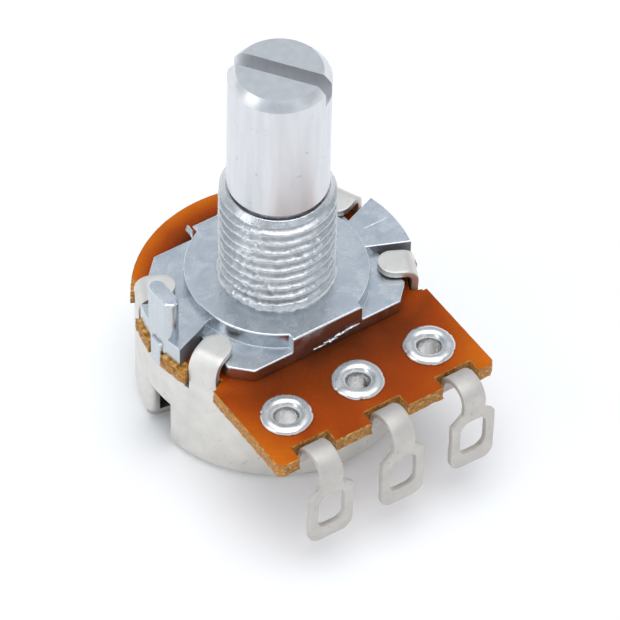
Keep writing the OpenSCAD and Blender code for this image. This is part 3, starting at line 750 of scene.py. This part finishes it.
class POT_OT_plate(bpy.types.Operator):
    """Cast the mounting plate with its boss, pads, wings, locating lug, leg and flash"""

    bl_idname = "pot.plate"
    bl_label = "Mounting plate"

    def execute(self, context):
        c, f = context.scene.pot_casting, context.scene.pot_finish
        hw, hl, k = mm(c, "half_width"), mm(c, "half_length"), mm(c, "corner")
        rim, boss = mm(context.scene.pot_can, "radius"), mm(c, "boss_diameter") / 2
        top = -mm(c, "boss_height")
        outline = [
            (hw, -hl + k), (hw, hl - k), (hw - k, hl), (k - hw, hl), (-hw, hl - k), (-hw, k - hl),
            (k - hw, -hl), (hw - k, -hl),
        ]
        piece = block("cast_plate", outline, PLATE_BOTTOM, top, 0.085, 0.4)
        pad = mm(c, "pad_width") / 2
        lean = math.degrees(math.asin(pad / boss))
        reach = math.degrees(math.asin(hl / boss))
        lean = min(90 - lean, reach)
        outline = (
            arc(0, 0, boss, -lean, lean, 60) + [(pad, hl), (-pad, hl)]
            + arc(0, 0, boss, 180 - lean, 180 + lean, 60) + [(-pad, -hl), (pad, -hl)]
        )
        parts = [block("boss", outline, top - 0.3, 0, 0.1)]
        foot = [(x * 1.018, y * 1.018 if abs(y) < hl - 0.1 else y) for x, y in outline]
        parts.append(block("foot", foot, top - 0.25, top + 0.07, 0.03))
        slope, wide = math.tan(c.wing_spread), mm(c, "wing_half_width")
        wing_top = top + mm(c, "wing_rise")
        for side in (1, -1):
            x0 = boss - 0.4
            half = wide + (x0 - hw) * slope
            edge = [
                (x, y) for x, y in arc(0, 0, rim, -40, 40, 400)
                if abs(y) <= wide + (x - hw) * slope
            ]
            wing = [(side * x, side * y) for x, y in [(x0, -half)] + edge[::4] + [(x0, half)]]
            parts.append(block("wing", wing, PLATE_BOTTOM, wing_top, 0.07, 0.4))
        lw, lt = mm(c, "lug_width") / 2, mm(c, "lug_thickness")
        rc = lt / 2 - 0.01
        x1, x0 = -rim + 0.01, -rim + lt
        corners = (
            (x0 - rc, lw - rc, 0), (x1 + rc, lw - rc, 90), (x1 + rc, rc - lw, 180),
            (x0 - rc, rc - lw, 270),
        )
        outline = sum((arc(x, y, rc, t, t + 90, 9) for x, y, t in corners), [])
        parts.append(block("lug", outline, PLATE_BOTTOM + 0.05, mm(c, "lug_height"), 0.14))
        combine(piece, parts, "UNION")
        wall, under = 3.05, PLATE_BOTTOM - 1
        hole = lathe([(0, under), (wall, under), (wall, 1), (0, 1)], 120)
        combine(piece, [add_mesh("hole", *hole)], "DIFFERENCE")
        # The leg keys into the wafer a little beside the lug's middle, and is flat outside
        leg, off, root, face_x = mm(c, "leg_width") / 2, -0.1, -rim + 0.6, -rim - 0.19
        outline = [(max(x, face_x), y) for x, y in arc(-rim + 0.1, off, leg, 90, 270, 16)]
        outline += [(root, off - leg), (root, off + leg)]
        leg = block("leg", outline, WAFER_BOTTOM - 0.2, PLATE_BOTTOM + 0.72, 0.12)
        combine(piece, [leg], "UNION")
        soften(piece, 30)
        # Where the sprue was torn off the front pad: one ragged ridge of overlapping lumps
        scars = [
            lump("scar", (x, -hl, z), radii, seed, 0.2, 0.7, 4)
            for seed, (x, z, *radii) in enumerate((
                (-0.6, -1.7, 0.5, 0.05, 0.05), (0.2, -1.6, 0.65, 0.08, 0.07),
                (1.0, -1.46, 0.65, 0.09, 0.1), (1.7, -1.32, 0.5, 0.07, 0.07),
            ))
        ]
        # The fins of flash at the rear edge
        scars += [
            lump("fin", (x, hl + y, top + z), radii, seed, 0.3, 0.5)
            for seed, (x, y, z, *radii) in enumerate((
                (-2.15, 0.4, -0.1, 0.2, 0.75, 0.08), (-0.75, 0.35, -0.06, 0.3, 0.5, 0.06),
                (-0.2, 0.3, -0.05, 0.35, 0.45, 0.06), (0.6, 0.15, -0.08, 0.5, 0.3, 0.06),
            ), 20)
        ]
        # The mould's parting line
        scars += [
            lump("ridge", (x, y, z), radii, seed, 0.3, 0.4)
            for seed, (x, y, z, *radii) in enumerate((
                (-4.35, 0.12, -0.01, 0.75, 0.035, 0.03),
                (7.15, 0.2, wing_top - 0.01, 1.0, 0.05, 0.024),
            ), 40)
        ]
        combine(piece, scars, "UNION")
        soften(piece, 50)
        even(piece)
        # The last figure is the painted shade on the plate's upright walls
        satin = zinc(
            "die-cast zinc alloy, satin skin", f.zinc, f.zinc_bright, 0.18, 0.32, 0.25, 0.8
        )
        # Painted shade: a dark dull skin for the wings' shaded side walls
        shaded_wall_skin = inner(
            "die-cast zinc alloy, painted wall shade", linear("#7F8389"), 0.35, 0.4, 0.55, 0.3, 0.02
        )
        for skin in (satin, shaded_wall_skin):
            piece.data.materials.append(skin)
        # The wings' front and rear side walls get a dark dull skin: painted shade where those
        # walls lie in shade
        for face in piece.data.polygons:
            x, y, z = face.center
            if (abs(face.normal.y) > 0.6 and abs(x) > boss - 0.2 and 1.25 < abs(y) < 3
                    and z < wing_top - 0.06 and math.hypot(x, y) < rim - 0.1):
                face.material_index = 1
        house(piece, "housing", "zinc_casting", None, "front_plate")
        return {"FINISHED"}


class POT_OT_wafer(bpy.types.Operator):
    """Punch the phenolic wafer: glossy faces, and torn layers round its sheared edge"""

    bl_idname = "pot.wafer"
    bl_label = "Phenolic wafer"

    def execute(self, context):
        scene = context.scene
        w, t, c, f = scene.pot_wafer, scene.pot_terminal, scene.pot_can, scene.pot_finish
        r, half = mm(w, "radius"), mm(w, "apron_half")
        reach, shoulder = mm(w, "apron_reach"), mm(w, "shoulder")
        can, tab = mm(c, "radius"), mm(c, "tab_width") / 2 + 0.1
        floor = can - mm(c, "sheet") - 0.15
        lean = math.degrees(c.tab_angle)
        near = tab_angles(c)[1]

        def slot(direction):
            """The notch that a fold-over tab passes through."""
            along, across = ways(direction)
            out = math.sqrt(r * r - tab * tab)
            corners = ((out, -tab), (floor, -tab), (floor, tab), (out, tab))
            return [tuple(along * d + across * s) for d, s in corners]

        spread = math.degrees(math.asin(tab / r))
        # The notch for the casting's leg, a little beside the middle
        key, key_off = 0.6, -0.1
        above, below = (math.degrees(math.asin((key + side * key_off) / r)) for side in (1, -1))
        outline = []
        for k in (-1, 0, 1):
            x = k * mm(t, "pitch") + mm(w, "notch_shift")
            n, d = mm(w, "notch_width") / 2, mm(w, "notch_depth")
            outline += [(x - n, -reach), (x - n, d - reach), (x + n, d - reach), (x + n, -reach)]
        rise = math.degrees(math.asin(shoulder / r))
        outline += [(half - 0.3, -reach), (half, 0.3 - reach), (half, -shoulder)]
        outline += arc(0, 0, r, -rise, -lean - spread - 0.3, 3) + slot(-lean)
        outline += arc(0, 0, r, -lean + spread + 0.3, lean - spread - 0.3, 60) + slot(lean)
        outline += arc(0, 0, r, lean + spread + 0.3, near - spread - 0.3, 190) + slot(near)
        outline += arc(0, 0, r, near + spread + 0.3, 180 - above, 30)
        outline += [(-can + 0.5, key_off + key), (-can + 0.5, key_off - key)]
        outline += arc(0, 0, r, 180 + below, 180 + lean - spread - 0.3, 30) + slot(180 + lean)
        outline += arc(0, 0, r, 180 + lean + spread + 0.3, 180 + rise, 3)
        outline += [(-half, -shoulder), (-half, 0.3 - reach), (0.3 - half, -reach)]
        loops = [dense(outline, 0.085), arc(0, 0, mm(w, "hole") / 2, 360, 4, 90)]
        row, eye = -mm(t, "row"), mm(t, "barrel") + 0.05
        loops += [arc(k * mm(t, "pitch"), row, eye, 360, 8, 45) for k in (-1, 0, 1)]
        low, high = WAFER_BOTTOM, PLATE_BOTTOM
        levels = [(low, 0.05), (low + 0.03, 0.015)]
        levels += [(z, 0.0) for z in np.linspace(low + 0.09, high - 0.1, 10)]
        levels += [(high - 0.05, 0.012), (high, 0.06)]
        tear = mm(w, "roughness")

        def shear(index, points, side, z):
            """Draw the torn layers in from the cut line, least near the punched top."""
            if index:
                return points
            p = points.copy()
            p[:, 2] = z
            pull = 0.55 + rough(p, 0.5, 1, (1, 1, 2.2)) * 0.7
            pull += rough(p, 0.16, 3, (1, 1, 1.8)) * 0.45
            share = min(1.0, (high - z) / 0.3) if z > low + 0.5 else 1.0
            chips = np.clip(rough(p, 1.1, 9) - 0.25, 0, 1) * 2.2
            pull = np.clip(pull, 0, 1.6) + chips * (high - z)
            # By the locating lug the top layers broke away
            away, reach_round = math.pi - np.abs(np.arctan2(p[:, 1], p[:, 0])), 0.62
            broken = np.exp(-((away / reach_round) ** 6))
            broken *= np.hypot(p[:, 0], p[:, 1]) > r - 0.02
            pull += broken * (2.4 + 3 * rough(p, 0.4, 8)) * np.clip((z - high + 0.5) / 0.5, 0, 1)
            points[:, :2] += side * (tear * share * pull)[:, None]
            return points

        points, faces = punched(loops, levels, shear)
        piece = add_mesh("phenolic_wafer", points, faces, 40)
        piece.data.materials.append(phenolic_face(f))
        piece.data.materials.append(phenolic_edge(f))
        for face in piece.data.polygons:
            if abs(face.normal.z) < 0.75:
                face.material_index = 1
        house(piece, "housing", "phenolic", None, "wafer")
        return {"FINISHED"}


class POT_OT_can(bpy.types.Operator):
    """Draw the steel can as one sheet, with its relieved rim, window, tongue and folded tabs"""

    bl_idname = "pot.can"
    bl_label = "Steel can"

    def execute(self, context):
        c, f = context.scene.pot_can, context.scene.pot_finish
        r, sheet = mm(c, "radius"), mm(c, "sheet")
        bend, half = mm(c, "bend"), mm(c, "tab_width") / 2
        lean = math.degrees(c.tab_angle)
        wide, nick = math.degrees(half / r), math.degrees(0.32 / r)
        tabs = tab_angles(c)
        notch = math.degrees(0.675 / r)
        window_top = CAN_BASE + mm(c, "window_height")
        window_left, window_right = 171.0, 189.0
        base_in = 6.58  # where the window ends in the base
        near = 1e-6  # what lengths and angles may differ by and still be the same

        # Grid lines round the can: every cut falls on one
        marks = {180 - notch, 180 + notch, window_left, window_right}
        for a in tabs:
            marks |= {a - wide - nick, a - wide, a + wide, a + wide + nick}
        marks = sorted(marks)
        turn = []
        for a, b in zip(marks, marks[1:] + [marks[0] + 360]):
            n = max(1, round((b - a) / 2.2))
            turn += [a + (b - a) * k / n for k in range(n)]
        n_turn = len(turn)
        # Rows down the wall, round the bend and in along the base, as (radius, height)
        heights = [0, -0.2, -0.4, -0.6, -1.0, -1.5, -2.1, -2.7]
        rows = [(r, WAFER_BOTTOM + z) for z in heights]
        rows += [(r, z) for z in (window_top + 0.12, window_top, window_top - 0.1)]
        wall_end = CAN_BASE + bend
        rows += [(r, z) for z in np.linspace(window_top - 0.1, wall_end, 8)[1:]]
        wall_rows = len(rows) + 1
        for t in np.linspace(0, 90, 8)[1:]:
            a = math.radians(t)
            rows.append((r - bend + bend * math.cos(a), CAN_BASE + bend - bend * math.sin(a)))
        rows += [(q, CAN_BASE) for q in (7.1, base_in, 6.0, 5.0, 4.0, 3.0, 2.0, 1.0)]
        window_rows = [
            i for i, (q, z) in enumerate(rows) if z <= window_top + near and q >= base_in - near
        ]
        front = (360 - lean - wide - nick, 180 + lean + wide + nick)

        points, index = [], {}
        for i, (q, z) in enumerate(rows):
            for j, a in enumerate(turn):
                t = math.radians(a)
                # The drawn wall is never quite round
                q2 = q + 0.012 * math.sin(3 * t + 0.6) * (i < wall_rows)
                index[i, j] = len(points)
                points.append((q2 * math.cos(t), q2 * math.sin(t), z))
        faces = []

        def cut(i, a):
            """Is the cell below row i at angle a one of the openings?"""
            deep = WAFER_BOTTOM - rows[i + 1][1] - near
            return (
                (deep <= 1 and front[1] < a < front[0])
                or (deep <= 0.2 and abs(a - 180) < notch)
                or (deep <= 0.4 and any(wide < abs(a - b) < wide + nick for b in tabs))
                or (i in window_rows and i + 1 in window_rows and window_left < a < window_right)
            )

        for i in range(len(rows) - 1):
            for j in range(n_turn):
                k = (j + 1) % n_turn
                a = (turn[j] + (turn[k] if k else turn[0] + 360)) / 2
                if not cut(i, a % 360):
                    faces.append((index[i, j], index[i + 1, j], index[i + 1, k], index[i, k]))
        centre = len(points)
        points.append((0, 0, CAN_BASE))
        for j in range(n_turn):
            faces.append((index[len(rows) - 1, j], centre, index[len(rows) - 1, (j + 1) % n_turn]))

        # Tabs: up from the rim, over a tight fold and in over the plate to a round tip
        top = -mm(context.scene.pot_casting, "boss_height") + 0.1 + sheet
        out = r - 0.03
        for number, b in enumerate(tabs):
            fold = mm(c, "fold") + (0, 0.2, 0.25, 0)[number]
            tip = mm(c, "tab_tip") - (0, 0, 0.12, 0)[number]
            path = [(out, z, 1.0) for z in np.linspace(WAFER_BOTTOM, top - fold, 5)[1:]]
            path += [
                (out - fold + fold * math.cos(t), top - fold + fold * math.sin(t), 1.0)
                for t in np.linspace(0, math.pi / 2, 9)[1:]
            ]
            path += [(x, top, 1.0) for x in np.linspace(out - fold, tip + half, 4)[1:]]
            path += [
                (tip + half - half * math.sin(t), top, math.cos(t))
                for t in np.radians((18, 36, 52, 66, 78, 86))
            ]
            foot = [j for j, a in enumerate(turn) if b - wide - near <= a <= b + wide + near]
            side = [r * math.sin(math.radians(turn[j] - b)) for j in foot]
            cells = 8
            across = np.linspace(-half, half, cells + 1)
            # The fold is never quite square: each tab leans and lifts by its own amount
            sway, lift = (0.02, -0.05, 0.04, 0.03)[number], (0.0, 0.03, 0.05, 0.05)[number]
            last = [index[0, j] for j in foot]
            grid = []
            for step, (x, z, share) in enumerate(path):
                row = []
                for y in across:
                    blend = min(1.0, step / 3)
                    curve = (1 - blend) * (math.sqrt(r * r - y * y) - r)
                    inwards = max(0.0, out - fold - x)
                    y2 = y * share + sway * inwards
                    a = math.radians(b)
                    px = x + curve
                    row.append(len(points))
                    points.append((
                        px * math.cos(a) - y2 * math.sin(a), px * math.sin(a) + y2 * math.cos(a),
                        z + lift * inwards / 1.6,
                    ))
                grid.append(row)
            faces += weave(grid)
            # Sew the tab's first row to the rim, which has fewer points
            first = grid[0]
            i = j = 0
            while i < len(last) - 1 or j < cells:
                if j == cells or (i < len(last) - 1 and side[i + 1] <= across[j + 1]):
                    faces.append((last[i], last[i + 1], first[j]))
                    i += 1
                else:
                    faces.append((last[i], first[j + 1], first[j]))
                    j += 1

        # Stop tongue: the sheet lanced from the window, bent in along the window's left edge
        hinge = turn.index(window_left)
        span = [
            i for i in window_rows if rows[i][0] >= r - near and rows[i][1] <= window_top - 0.05
        ]
        out_way, along = ways(window_left)
        curl, bent = 0.42, math.radians(95)
        trail = [
            curl * (math.sin(t) * along - (1 - math.cos(t)) * out_way)
            for t in np.radians((25, 50, 75, 95))
        ]
        end_way = math.cos(bent) * along - math.sin(bent) * out_way
        trail += [trail[-1] + end_way * (mm(c, "tongue") - curl) * d for d in (0.35, 0.7, 1.0)]
        grid = [[index[i, hinge] for i in span]]
        for p in trail:
            row = []
            for i in span:
                row.append(len(points))
                base = np.array(points[index[i, hinge]][:2]) + p
                points.append((base[0], base[1], rows[i][1]))
            grid.append(row)
        faces += weave(grid)

        mesh = bpy.data.meshes.new("drawn_can")
        mesh.from_pydata(np.array(points).tolist(), [], faces)
        work = bmesh.new()
        work.from_mesh(mesh)
        bmesh.ops.recalc_face_normals(work, faces=work.faces)
        low_face = min(work.faces, key=lambda q: q.calc_center_median().z)
        if low_face.normal.z > 0:
            bmesh.ops.reverse_faces(work, faces=work.faces)
        loose = [v for v in work.verts if not v.link_faces]
        bmesh.ops.delete(work, geom=loose, context="VERTS")
        work.to_mesh(mesh)
        work.free()
        piece = link("drawn_can", mesh)
        skin = piece.modifiers.new("sheet", "SOLIDIFY")
        skin.thickness, skin.offset, skin.use_even_offset = sheet, -1, True
        skin.use_quality_normals = True
        settle(piece)
        ease(piece, 0.06, sharp=35, limit=50)
        finish = plated("tin-plated steel, drawn", f.can, 0.46, 0.58, (1, 1, 0.1), 0.3, 0.02)
        house(piece, "housing", "can_steel", finish, "rear_cover")
        return {"FINISHED"}


class POT_OT_terminals(bpy.types.Operator):
    """Blank the three terminals from strip and bend each over the wafer's edge"""

    bl_idname = "pot.terminals"
    bl_label = "Solder terminals"

    def execute(self, context):
        scene = context.scene
        t, w, f = scene.pot_terminal, scene.pot_wafer, scene.pot_finish
        thick, row, hook = mm(t, "sheet"), mm(t, "row"), mm(t, "hook")
        riser = mm(w, "apron_reach") - mm(w, "notch_depth") + 0.05
        elbow, mid = 0.3, hook - thick / 2
        low = STRIP_BOTTOM + thick / 2
        bow = WAFER_BOTTOM + 0.25
        lug_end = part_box("terminal_left")[0].z / MM
        # The strip's centre line from the rivet outwards, as (length along it, y, z, direction)
        run = riser + thick / 2 - elbow - row
        legs = [
            (run, 0.0), (elbow * math.pi / 2, 1 / elbow), (bow - low - elbow, 0.0),
            (mid * math.pi, -1 / mid), (bow - lug_end, 0.0),
        ]
        total = sum(x for x, _ in legs)

        def follow(u):
            """Where the centre line is at length u, and which way it points, in the YZ plane."""
            y, z, way = -row, low, math.pi
            if u <= 0:
                return y - u, z, way
            for length, curve in legs:
                d = min(u, length)
                if curve:
                    # A positive curve turns the strip upwards, a negative one over and down
                    end = way - curve * d
                    y += (math.sin(way) - math.sin(end)) / curve
                    z += (math.cos(end) - math.cos(way)) / curve
                    way = end
                else:
                    y += math.cos(way) * d
                    z += math.sin(way) * d
                u -= d
                if u <= 1e-9:
                    break
            return y, z, way

        neck, half, pad = mm(t, "neck") / 2, mm(t, "lug_width") / 2, 1.5
        full, slope, rc = mm(t, "lug_length"), 0.7, 0.8
        lean = math.degrees(math.asin(neck / pad))
        shoulder = total - full
        outline = arc(0, 0, pad, 90 + lean, 450 - lean, 60)
        right = [(neck, shoulder - slope), (half, shoulder), (half, total - rc)]
        right += arc(half - rc, total - rc, rc, 10, 90, 8)
        loop = outline + right + [(-x, u) for x, u in reversed(right)]
        hw, hole_l, rh = mm(t, "hole_width") / 2, mm(t, "hole_length") / 2, 0.6
        hc = total - 1.05 - hole_l
        hole = []
        for x, u, a in ((1, 1, 90), (1, -1, 0), (-1, -1, -90), (-1, 1, 180)):
            hole += arc(x * (hw - rh), hc + u * (hole_l - rh), rh, a, a - 90, 8)
        eye = arc(0, 0, mm(t, "barrel") + 0.05, 360, 10, 36)
        loops = [dense(loop, 0.07), dense(hole, 0.1), eye]
        levels = eased(-thick / 2, thick / 2, 0.09)
        finish = plated(
            "tin-plated brass strip, satin", f.terminal, 0.6, 0.7, (0.6, 1, 1), 0.25, 0.02
        )
        for number, name in enumerate(("terminal_left", "terminal_centre", "terminal_right")):
            flat, faces = punched(loops, levels)
            dents = rough(flat * (1, 1, 0.2), 1.3, 30 + number) * 0.035
            twist = (0.012, -0.008, 0.015)[number]
            aside, up = (-0.08, -0.08, -0.17)[number], (0.1, 0.1, 0.3)[number]
            points = []
            for (x, u, h2), dent in zip(flat, dents):
                y, z, way = follow(u)
                free = min(1.0, max(0.0, (u - run - 2.5) / 3))
                h2 += dent * free + twist * x * free
                points.append((
                    (number - 1) * mm(t, "pitch") + x + aside * free, y + math.sin(way) * h2,
                    z - math.cos(way) * h2 + up * free,
                ))
            piece = add_mesh("tinned_" + name, points, faces, 35)
            house(piece, "housing", "terminal_metal", finish, name)
        return {"FINISHED"}


class POT_OT_rivets(bpy.types.Operator):
    """Set the three hollow rivets, each with its own crumpled and cracked rim"""

    bl_idname = "pot.rivets"
    bl_label = "Rivets"

    def execute(self, context):
        t, f = context.scene.pot_terminal, context.scene.pot_finish
        head, tall = mm(t, "head_radius"), mm(t, "head_height")
        barrel, eye = mm(t, "barrel"), mm(t, "eyelet")
        finish = plated("bright tin on brass, rolled", f.rivet, 0.22, 0.34, (1, 1, 1), 0.5, 0.012)
        top = PLATE_BOTTOM
        roll = []
        crown = (head - eye) / 2 + eye
        for a in np.linspace(-20, 180, 22):
            q = math.radians(a)
            x = crown + ((head if a < 90 else 2 * crown - eye) - crown) * math.cos(q)
            sink = 0.3 * (1 - math.sin(q)) ** 1.3 if a > 90 else 0
            roll.append((x, top + 0.05 + (tall - 0.05) * max(-0.15, math.sin(q)) - sink))
        inside = [(eye, z) for z in np.linspace(top - 0.38, STRIP_BOTTOM, 6)]
        clinch_mid = (head - 0.15 + eye) / 2
        clinch = [
            (clinch_mid - (clinch_mid - eye) * math.cos(q), STRIP_BOTTOM - 0.22 * math.sin(q))
            for q in np.linspace(0.2, math.pi, 12)
        ]
        outside = [(barrel, STRIP_BOTTOM), (barrel, top - 0.01)]
        profile = roll + inside + clinch + outside
        n_roll = len(roll)
        for number, name in enumerate(("rivet_left", "rivet_centre", "rivet_right")):

            def crumple(radius, height, turn, number=number):
                """Flats and small cracks round the rolled rim."""
                a = turn[:, 0]
                ring = np.stack([np.cos(a) * 1.5, np.sin(a) * 1.5, a * 0], 1)
                wave = rough(ring, 0.8, 40 + number) * 0.06 + rough(ring, 0.4, 50 + number) * 0.015
                for k in range(5):
                    at = (number * 1.9 + k * 1.37 + 0.4 * math.sin(k * 5 + number)) % (2 * math.pi)
                    gap = np.abs((a - at + math.pi) % (2 * math.pi) - math.pi)
                    wave -= (0.05 + 0.02 * (k % 3)) * np.exp(-(gap / 0.035) ** 2)
                share = np.clip((radius[:, :n_roll] - crown) / (head - crown), 0, 1)
                radius[:, :n_roll] += wave[:, None] * share - 0.01 * share
                q, z = radius[:, :n_roll], height[:, :n_roll]
                flat = np.stack([q * np.cos(turn), q * np.sin(turn), z], 2).reshape(-1, 3)
                bumps = (rough(flat, 0.7, 60 + number) * 0.03).reshape(share.shape)
                height[:, :n_roll] += np.where(z > top + 0.06, bumps - 0.01, 0)
                return radius, height

            points, faces = lathe(profile, 120, ring=True, shape=crumple)
            points += ((number - 1) * mm(t, "pitch"), -mm(t, "row"), 0)
            piece = add_mesh("rolled_" + name, points, faces, 50)
            house(piece, "housing", "rivet_metal", finish, name)
        return {"FINISHED"}


class POT_OT_inner(bpy.types.Operator):
    """Finish the pieces inside the can: the prints, rotor, wiper and retaining ring"""

    bl_idname = "pot.inner"
    bl_label = "Prints and rotor"

    def execute(self, context):
        f = context.scene.pot_finish
        silver = inner("silver ink, screen printed", f.silver, 0.7, 0.35, 0.5, 0.12, 0.02)
        carbon = inner("carbon resin ink, screen printed", f.carbon, 0.0, 0.45, 0.65, 0.1, 0.02)
        black = inner("black phenolic compound, moulded", f.rotor, 0.0, 0.3, 0.45, 0.4, 0.02)
        bronze = inner("phosphor bronze strip, bright", f.bronze, 1.0, 0.2, 0.32, 0.3, 0.01)
        spring = inner("spring steel, dull", linear("#8A8D90"), 1.0, 0.3, 0.45, 0.25, 0.01)
        finishes = {
            "carbon_track": carbon, "collector_ring": silver, "end_pad_left": silver,
            "end_pad_right": silver, "rotor": black, "wiper": bronze, "retaining_ring": spring,
        }
        for name, finish in finishes.items():
            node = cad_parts[name]
            node.data.materials.clear()
            node.data.materials.append(finish)
        for name in ("rotor", "retaining_ring"):
            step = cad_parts[name].modifiers.new("eased edges", "BEVEL")
            step.width, step.segments, step.limit_method = 0.04 * MM, 2, "ANGLE"
        return {"FINISHED"}


class POT_OT_studio(bpy.types.Operator):
    """Lay the pale floor, hang the soft lights and place the camera"""

    bl_idname = "pot.studio"
    bl_label = "Studio"

    def execute(self, context):
        scene, s = context.scene, context.scene.pot_studio
        sheet = bpy.data.meshes.new("floor")
        ground = (CAN_BASE - 0.02) * MM
        corners = [(x, y, ground) for x, y in ((-2, -2), (2, -2), (2, 2), (-2, 2))]
        sheet.from_pydata(corners, [], [(0, 1, 2, 3)])
        floor = link("floor", sheet)
        paper, tree, shader, _ = start("matt white paper sweep")
        feed(tree, shader, {
            "Base Color": tuple(s.floor), "Roughness": 0.9, "Specular IOR Level": 0.1,
        })
        sheet.materials.append(paper)

        world = bpy.data.worlds.new("soft sky")
        world.use_nodes = True
        tree = world.node_tree
        back = next(n for n in tree.nodes if n.type == "BACKGROUND")
        way = put(tree, "TexCoord", {}).outputs["Generated"]
        upwards = put(tree, "SeparateXYZ", {0: way}).outputs[2]
        ramp = put(tree, "ValToRGB", {0: upwards}, (
            (0, (1.4, 1.4, 1.4, 1)), (1, (1.8, 1.8, 1.82, 1)), (0.22, (0.9, 0.91, 0.93, 1)),
            (0.45, (0.44, 0.49, 0.54, 1)), (0.8, (0.5, 0.55, 0.61, 1)),
        ))
        feed(tree, back, {0: ramp, 1: s.sky})
        scene.world = world

        for name, place, wide, bright in (
            ("key softbox", (-0.36, 0.05, 0.26), 0.17, 2.3),
            ("side softbox", (0.06, -0.38, 0.27), 0.12, 0.75),
            ("top softbox", (0.02, -0.02, 0.42), 0.36, 1.15),
        ):
            lamp = bpy.data.lights.new(name, "AREA")
            lamp.size, lamp.energy = wide, bright * math.pi * wide * wide * s.key
            lit = link(name, lamp)
            lit.location = place
            lit.rotation_euler = (-Vector(place)).to_track_quat("-Z", "Y").to_euler()

        azimuth, height, roll = map(math.radians, (-34.6264, 47.3583, 1.3621))
        distance, target = 292.0794, (0, -3.5419, -0.5742)
        back_way = Vector((
            math.sin(azimuth) * math.cos(height), -math.cos(azimuth) * math.cos(height),
            math.sin(height),
        ))
        right = Vector((math.cos(azimuth), math.sin(azimuth), 0))
        up = back_way.cross(right)
        across = right * math.cos(roll) + up * math.sin(roll)
        upward = up * math.cos(roll) - right * math.sin(roll)
        lens = bpy.data.cameras.new("camera")
        # A long lens, in millimetres, on a full-frame sensor
        lens.sensor_width, lens.lens = 36, 290.32258
        lens.clip_start, lens.clip_end = 0.01, 10
        camera = link("camera", lens)
        turned = Matrix((across, upward, back_way)).transposed().to_4x4()
        turned.translation = Vector(target) * MM + back_way * distance * MM
        camera.matrix_world = turned
        scene.camera = camera
        scene.view_settings.view_transform = "Standard"
        return {"FINISHED"}


OPERATORS = (
    POT_OT_shaft, POT_OT_bushing, POT_OT_plate, POT_OT_wafer, POT_OT_can, POT_OT_terminals,
    POT_OT_rivets, POT_OT_inner, POT_OT_studio,
)


class POT_PT_sidebar(bpy.types.Panel):
    bl_idname = "POT_PT_sidebar"
    bl_label = "Potentiometer"
    bl_space_type = "VIEW_3D"
    bl_region_type = "UI"
    bl_category = "Potentiometer"

    def draw(self, context):
        for operator in OPERATORS:
            self.layout.operator(operator.bl_idname)
        for key, group in GROUPS.items():
            box = self.layout.box()
            for name in group.__annotations__:
                box.prop(getattr(context.scene, key), name)


def register():
    for item in (*GROUPS.values(), *OPERATORS, POT_PT_sidebar):
        bpy.utils.register_class(item)
    for key, group in GROUPS.items():
        setattr(bpy.types.Scene, key, PointerProperty(type=group))


def unregister():
    for key in GROUPS:
        delattr(bpy.types.Scene, key)
    for item in reversed((*GROUPS.values(), *OPERATORS, POT_PT_sidebar)):
        bpy.utils.unregister_class(item)


def main():
    """Build every piece in order."""
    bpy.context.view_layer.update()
    register()
    for operator in OPERATORS:
        group, name = operator.bl_idname.split(".")
        getattr(getattr(bpy.ops, group), name)()


if __name__ == "__main__":
    main()
